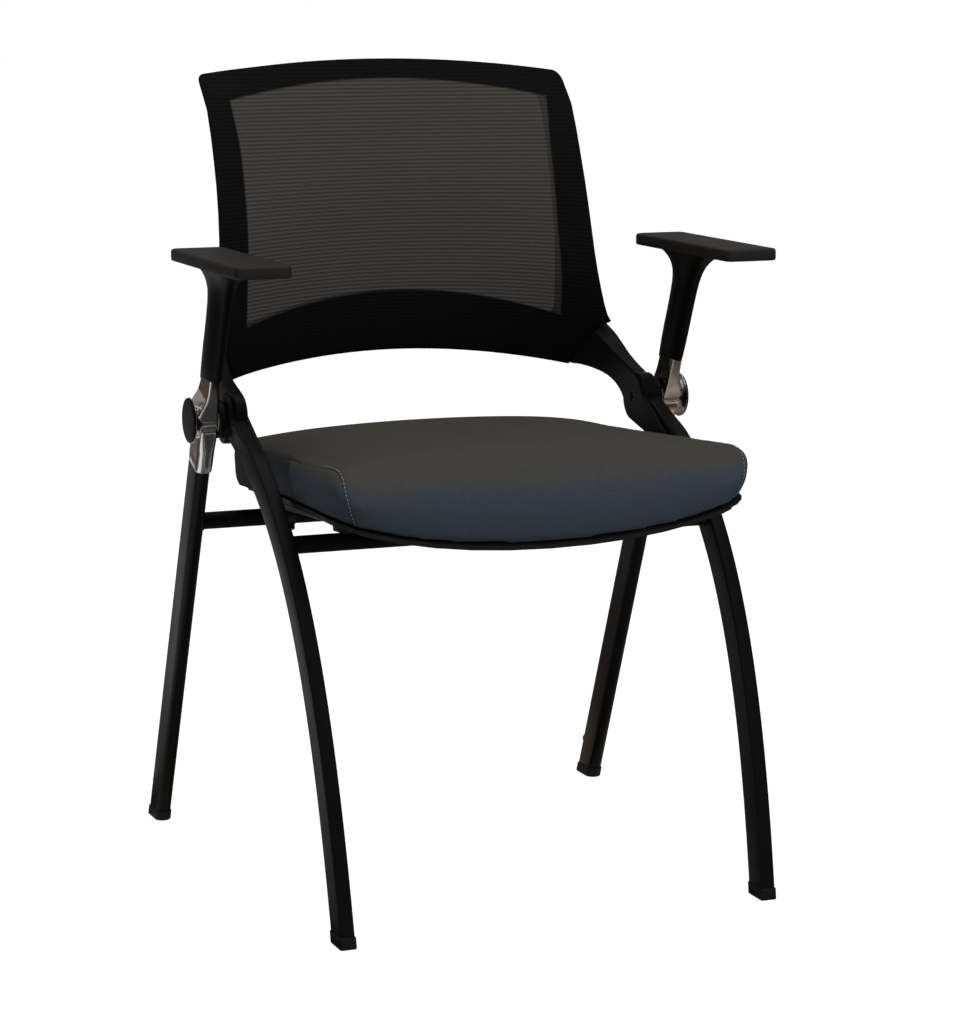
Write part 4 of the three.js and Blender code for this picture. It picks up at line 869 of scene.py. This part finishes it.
# radius, distance from the middle of the chair, and whether that edge is the hexagon's
SCREW_LEVELS = [
    (0.003, 0.244, False), (0.003, 0.2342, False), (0.0042, 0.234, False), (0.0042, 0.2321, False),
    (0.0039, 0.2317, False), (0.0024, 0.2317, True), (0.0022, 0.2333, True),
]

screw_rings = []
for radius, x, hexagon in SCREW_LEVELS:
    ring = []
    for i in range(SCREW_SIDES):
        turn = 2 * pi * i / SCREW_SIDES
        flat = cos(pi / 6) / cos((turn + pi / 6) % (pi / 3) - pi / 6)
        reach = radius * (flat if hexagon else 1)
        ring.append(PIVOT + Vector((x, reach * cos(turn), reach * sin(turn))))
    screw_rings.append(ring)
# Painted shade: plated steel coloured near black for the shade at the bottom of the holes.
shade_painted_zinc = Finish(
    "zinc_in_painted_shade", "zinc_steel", base_color=(0.035, 0.033, 0.032, 1), metallic=1.0, roughness=0.4,
)
shade_painted_zinc.roughness(300, 3, 0.32, 0.5)
pair("arm_screw", skin(screw_rings), shade_painted_zinc, "front_frame", "back_screw")

finished("back_moulding", ring_frame, moulded, "front_frame", "back_frame", crease=50)

# Knitted mesh: stretched over the front of the ring, wrapped round its edges to a groove in
# its back. Fine ribs run across it, bowed upward low down, and light comes through between.
RIB_PITCH, RIB_BOW, STITCH_WIDTH, SLEEVE_WALL = 0.0042, 0.24, 0.0011, 0.0008
SEEN_TOP, SEEN_FOOT, SEEN_BLUR, SEEN_BOW = 0.846, 0.608, 0.0015, 0.181
TOP_DROP, FOOT_DROP, SIDE_BLUR = 0.0195, 0.0295, 0.0012
SHEET_SHARES = [0.93, 0.84, 0.74, 0.63, 0.52, 0.4, 0.28, 0.16, 0.06]
# share of the way from outline to window, and depth behind the front of the mesh
SHEET_SECTION = [
    (0.4, 0.0224), (0.3, 0.0222), (0.22, 0.02), (0.13, 0.015), (0.05, 0.0095),
    (0.008, 0.0052), (0, 0.0036), (0.012, 0.0018), (0.045, 0.0006), (0.12, 0), (0.3, 0),
    (0.5, 0), (0.75, 0), (0.98, 0),
]

knit = Finish(
    "ribbed_knit", "knit_mesh",
    base_color=(0.02, 0.018, 0.017, 1), roughness=0.9, specular_ior_level=0.1,
)
across_x, _, across_z = knit.axes()
squared = across_x * across_x
arch = squared * (RIB_BOW * (1 - across_z.between(0.56, 0.8)))
rib = ((across_z + arch) / RIB_PITCH).wave()
stitch = (across_x / STITCH_WIDTH).wave()
weave = rib * 0.7 + stitch * 0.3
bowed = squared * (1 / SEEN_BOW ** 2)
top = (across_z + bowed * TOP_DROP).between(SEEN_TOP - SEEN_BLUR, SEEN_TOP + SEEN_BLUR)
foot = (across_z + bowed * FOOT_DROP).between(SEEN_FOOT - SEEN_BLUR, SEEN_FOOT + SEEN_BLUR)
side_half = 0.1855 + across_z.between(0.76, 0.845) * 0.0055 + (1 - across_z.between(0.6, 0.69)) * 0.0035
beside = (across_x.maths("ABSOLUTE") - side_half).between(-SIDE_BLUR, SIDE_BLUR)
in_window = (1 - beside) * (1 - top) * foot
# Painted light and shade: the knit is painted lighter inside the window, for the light that shines through
# it, and darker over the ring, where none comes through. Within each, the ribs' crests are painted lit and
# the hollows between them in shade, mixed with a random grain of the yarn.
painted_knit_shade = knit.mix(in_window, (0.0032, 0.0032, 0.0034), (0.019, 0.0165, 0.0145))
painted_knit_light = knit.mix(in_window, (0.007, 0.007, 0.0078), (0.064, 0.0555, 0.0485))
rib_shade_and_grain = weave * 0.75 + knit.noise(520, 2) * 0.25
knit.put(knit.shader, "Base Color", knit.mix(rib_shade_and_grain, painted_knit_shade, painted_knit_light))
knit.relief(weave, 0.0004, 0.7)
knit.put(knit.shader, "Alpha", 1 - in_window * (0.09 + rib * (stitch * 0.6 + 0.4) * 0.086))

window_middle = (WINDOW_TOP + WINDOW_BOTTOM) / 2
sheet_rings = [back_ring(share, depth) for share, depth in SHEET_SECTION]
for share in SHEET_SHARES:
    ring = []
    for wx, wz in window_outline:
        x, z = wx * share, window_middle + (wz - window_middle) * share
        ring.append(Vector((x, back_face(x, z), z)))
    sheet_rings.append(ring)
sheet = skin(sheet_rings)
sheet.faces.ensure_lookup_table()
first_cap = next(f for f in sheet.faces if len(f.verts) > 4)
bmesh.ops.delete(sheet, geom=[first_cap], context="FACES_ONLY")
last_cap = next(f for f in sheet.faces if len(f.verts) > 4)
bmesh.ops.poke(sheet, faces=[last_cap])
bmesh.ops.recalc_face_normals(sheet, faces=sheet.faces)
mesh_piece = finished("knit_sleeve", sheet, knit, "front_frame", "back_mesh", crease=70)
wall = mesh_piece.modifiers.new("knit_thickness", "SOLIDIFY")
wall.thickness, wall.offset = SLEEVE_WALL, -1

# Seat rails: flat strips of zinc-plated steel, rolled at the rear end round the hinge sleeves
# on the cross tube and screwed up into the pan.
coated(plated, "seat_rail")

# Rest pads: blocks of moulded rubber with soft edges, glued under the seat rails. They land on
# the front cross tube when the seat is down.
SEAT_RISE, REST_LIFT, REST_EDGE = 0.015, 0.0048, 0.0012
RAIL_X, REST_PAD = 0.17, (0.026, 0.034, 0.0067)
SEAT_TILT = atan2(SEAT_RISE, REAR_BAR.y - front_bar.y)
seat_forward = Vector((0, -cos(SEAT_TILT), sin(SEAT_TILT)))
seat_up = Vector((0, sin(SEAT_TILT), cos(SEAT_TILT)))


def seat_place(across, forward, up):
    """A point of the seat, from its hinge line: across, forward and square to the rails."""
    return REAR_BAR + Vector((across, 0, 0)) + seat_forward * forward + seat_up * up


rest = bmesh.new()
bmesh.ops.create_cube(rest, size=1)
bmesh.ops.scale(rest, vec=REST_PAD, verts=rest.verts)
bmesh.ops.bevel(
    rest, geom=rest.edges[:], offset=REST_EDGE, segments=3, profile=0.5, affect="EDGES", material=-1,
)
rest_at = seat_place(RAIL_X, (front_bar - REAR_BAR).length, REST_LIFT + REST_PAD[2] / 2)
tip_down = Matrix.Rotation(-SEAT_TILT, 4, "X")
bmesh.ops.transform(rest, matrix=Matrix.Translation(rest_at) @ tip_down, verts=rest.verts)
pair("rest_block", rest, rubber, "seat", "rest_pad")

# Seat pan: one moulded black shell under the cushion, screwed to the rails. Its rim shows as a
# thin line below the cloth.
pan_shell = Finish(
    "pan_shell_plastic", "black_plastic",
    base_color=(0.013, 0.0125, 0.012, 1), roughness=0.5, specular_ior_level=0.35,
)
pan_shell.roughness(40, 3, 0.42, 0.58)
pan_shell.relief(pan_shell.noise(2400, 1), 0.00005, 0.5)
coated(pan_shell, "seat_pan", sides=("",))

# Seat cushion: moulded foam under a plain woven cloth. The cloth swells between the side seams
# and the hem, which is drawn under against the pan, as stuffed fabric does.
SEAM_STEP, WEAVE_PITCH = 0.0015, 0.0009
REAR_SPREAD, FRONT_SPREAD, TOP_ROUND = 0.072, 0.016, 0.7
CUSHION_VOXEL, CUSHION_ROUNDS, SKIN_INSET, PIN_REACH = 0.005, 3, 0.0018, 0.0035
PRESSURE, CLOTH_QUALITY, SWELL_FRAMES, SWELL_CAP = 4, 5, 20, 0.006
SEAM_SINK, SEAM_SPAN, FOLD_SINK, FOLD_SPAN = 0.0012, 0.0035, 0.0011, 0.008
# across, forward and up in the seat's own measures: the side seam, from the rear corner forward
# and down to the hem, and the soft fold inside it along the top
SIDE_SEAM = [
    (0.203, -0.04, 0.0775), (0.206, 0.02, 0.0785), (0.208, 0.0745, 0.0794),
    (0.2129, 0.1522, 0.0796), (0.221, 0.215, 0.081), (0.2246, 0.2483, 0.0819),
    (0.224, 0.279, 0.0825), (0.2227, 0.307, 0.0834), (0.2215, 0.3286, 0.0836),
    (0.2219, 0.3509, 0.0808), (0.2205, 0.3614, 0.0736), (0.2192, 0.3644, 0.0678),
    (0.2188, 0.3674, 0.06), (0.2179, 0.3682, 0.0521), (0.2154, 0.365, 0.0397),
    (0.2115, 0.3587, 0.0278), (0.21, 0.355, 0.0215),
]
TOP_FOLD = [
    (0.196, -0.02, 0.083), (0.2007, 0.0194, 0.0837), (0.2029, 0.1048, 0.0857),
    (0.204, 0.1791, 0.0869), (0.206, 0.2578, 0.0867), (0.2075, 0.3292, 0.0862),
]

cloth = Finish(
    "plain_weave", "seat_cloth",
    base_color=(0.05, 0.052, 0.055, 1), roughness=0.92, specular_ior_level=0.3,
)
thread_x, thread_y, _ = cloth.axes()
# Painted light: the cloth is painted warmer and lighter on faces turned up, for the warm lamp above, and
# bluer on the sides and front, for the cool fill in front.
facing = cloth.node("ShaderNodeNewGeometry", out="Normal")
painted_top_light = cloth.parts(facing)[2].between(0.1, 0.8)
fleck = cloth.noise(1100, 3)
cloth_painted_light = cloth.mix(painted_top_light, (0.046, 0.057, 0.071), (0.055, 0.051, 0.046))
fleck_shade = cloth.mix(fleck.between(0.3, 0.7), (0.82, 0.82, 0.82), (1.16, 1.16, 1.16))
cloth.put(cloth.shader, "Base Color", cloth.mix(1.0, cloth_painted_light, fleck_shade, "MULTIPLY"))
weft = (thread_x / WEAVE_PITCH).wave() * (thread_y / WEAVE_PITCH).wave()
cloth.relief(weft * 0.5 + fleck * 0.5, 0.0003, 0.5)


def spread(p):
    """Widens the cushion's rear corners, which swell between the legs, and its front ones."""
    ahead, up = REAR_BAR.y - p.y, (p - REAR_BAR).dot(seat_up)
    behind = REAR_SPREAD * (1 - eased(ahead, 0.02, 0.11))
    swelled = FRONT_SPREAD * eased(ahead, 0.2, 0.3) * eased(up, 0.028, 0.05)
    swelled *= 1 - TOP_ROUND * eased(up, 0.064, 0.084)
    return Vector((p.x * (1 + behind + swelled), p.y, p.z))


def sewn_line(points, side):
    """Points at even steps along a smooth line over the seat, on one side of it."""
    places = [spread(seat_place(across * side, forward, up)) for across, forward, up in points]
    lengths = [0.0]
    for p, q in zip(places, places[1:]):
        lengths.append(lengths[-1] + (q - p).length)
    rows = [(length, *p) for length, p in zip(lengths, places)]
    count = int(lengths[-1] / SEAM_STEP)
    return [Vector(between_stations(rows, lengths[-1] * i / count * 0.9999)[1:]) for i in range(count + 1)]


def tree_of(points):
    """A search tree over a list of points."""
    tree = KDTree(len(points))
    for i, p in enumerate(points):
        tree.insert(p, i)
    tree.balance()
    return tree


def stuffed(bm, pinned):
    """Swells a closed form with cloth under pressure between pinned places, by at most a cap."""
    form = rough_object(bm)
    form.vertex_groups.new(name="sewn").add(pinned, 1.0, "REPLACE")
    swell = form.modifiers.new("swell", "CLOTH")
    swell.settings.quality = CLOTH_QUALITY
    swell.settings.use_pressure = True
    swell.settings.uniform_pressure_force = PRESSURE
    swell.settings.vertex_group_mass = "sewn"
    swell.settings.effector_weights.gravity = 0
    swell.point_cache.frame_start, swell.point_cache.frame_end = 1, SWELL_FRAMES
    for step in range(1, SWELL_FRAMES + 1):
        scene.frame_set(step)
    swollen = form.evaluated_get(bpy.context.evaluated_depsgraph_get()).data
    for vertex, end in zip(bm.verts, swollen.vertices):
        move = end.co - vertex.co
        held = SWELL_CAP * tanh(move.length / SWELL_CAP)
        vertex.co += move * (held / max(move.length, 1e-9))
    bpy.data.objects.remove(form)
    scene.frame_set(1)


def sunk(bm, depth_at):
    """Moves each point of a form inward, by the depth given for its place."""
    bm.normal_update()
    for vertex, normal in [(vertex, vertex.normal.copy()) for vertex in bm.verts]:
        vertex.co -= normal * depth_at(vertex.co)


def seam_depth(place):
    """How deep the cloth is drawn in beside the seams and the folds."""
    from_seam, from_fold = seam_tree.find(place)[2], fold_tree.find(place)[2]
    in_seam = SEAM_SINK * exp(-(from_seam / SEAM_SPAN) ** 2)
    return in_seam + FOLD_SINK * exp(-(from_fold / FOLD_SPAN) ** 2)


seam_tree = tree_of(sewn_line(SIDE_SEAM, 1) + sewn_line(SIDE_SEAM, -1))
fold_tree = tree_of(sewn_line(TOP_FOLD, 1) + sewn_line(TOP_FOLD, -1))
cushion_form = bmesh.new()
cushion_form.from_mesh(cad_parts["seat_cushion"].data)
bmesh.ops.remove_doubles(cushion_form, verts=cushion_form.verts, dist=1e-5)
sunk(cushion_form, lambda place: SKIN_INSET)
blended(cushion_form, CUSHION_VOXEL, CUSHION_ROUNDS)
for vertex in cushion_form.verts:
    vertex.co = spread(vertex.co)
cushion_form.normal_update()
pinned = [
    vertex.index for vertex in cushion_form.verts
    if vertex.normal.dot(seat_up) < -0.4
    or seam_tree.find(vertex.co)[2] < PIN_REACH + SKIN_INSET
]
stuffed(cushion_form, pinned)
rounder = rough_object(cushion_form)
rounder.modifiers.new("rounder", "SUBSURF").levels = 1
read_back(cushion_form, rounder)
cushion_skin = BVHTree.FromBMesh(cushion_form)
sunk(cushion_form, seam_depth)
cushion = finished("seat_upholstery", cushion_form, cloth, "seat", "seat_cushion", crease=80)

# Seams and stitches: a fine folded seam along each side, and pale topstitching down the front
# corners where the side panel meets the front.
seam_thread = Finish("seam_fold", "seat_cloth", base_color=(0.012, 0.013, 0.015, 1), roughness=0.95)
seam_thread.colour(900, 2, (0.008, 0.009, 0.01), (0.02, 0.021, 0.024))
pale_thread = Finish("pale_thread", "seat_cloth", base_color=(0.3, 0.31, 0.33, 1), roughness=0.7)
pale_thread.colour(2500, 2, (0.22, 0.23, 0.25), (0.4, 0.41, 0.43))
SEAM_SIDES, SEAM_DEPTH, SEAM_WIDE, SEAM_HIGH = 6, 0.001, 0.0006, 0.0004
STITCH_PITCH, STITCH_FROM, STITCH_RISE, STITCH_ASIDE = 3, 0.735, 0.0011, 0.0016
STITCH_SIZE = (0.0014, 0.00038, 0.0003)

fold_section = [(SEAM_WIDE * across, SEAM_HIGH * up) for across, up in around(SEAM_SIDES)]
for side, mark in ((1, "l"), (-1, "r")):
    on_skin = []
    for p in sewn_line(SIDE_SEAM, side):
        place, normal, _, _ = cushion_skin.find_nearest(p)
        on_skin.append((place - normal * SEAM_DEPTH, normal))
    fold_rings, thread_bm = [], bmesh.new()
    for i, (p, normal) in enumerate(on_skin):
        before, after = on_skin[max(i - 1, 0)][0], on_skin[min(i + 1, len(on_skin) - 1)][0]
        along = (after - before).normalized()
        across = along.cross(normal).normalized()
        fold_rings.append([p + across * wide + normal * high for wide, high in fold_section])
        if i > STITCH_FROM * len(on_skin) and i % STITCH_PITCH == 0:
            turn = Matrix((along, across, normal)).transposed().to_4x4()
            aside = across * (STITCH_ASIDE * side)
            at = Matrix.Translation(p + normal * STITCH_RISE + aside)
            stitch_size = Matrix.Diagonal((*STITCH_SIZE, 1))
            matrix = at @ turn @ stitch_size
            bmesh.ops.create_icosphere(thread_bm, subdivisions=2, radius=1, matrix=matrix)
    finished(f"side_seam_{mark}", skin(fold_rings), seam_thread, "seat", crease=80)
    finished(f"corner_stitches_{mark}", thread_bm, pale_thread, "seat", crease=80)
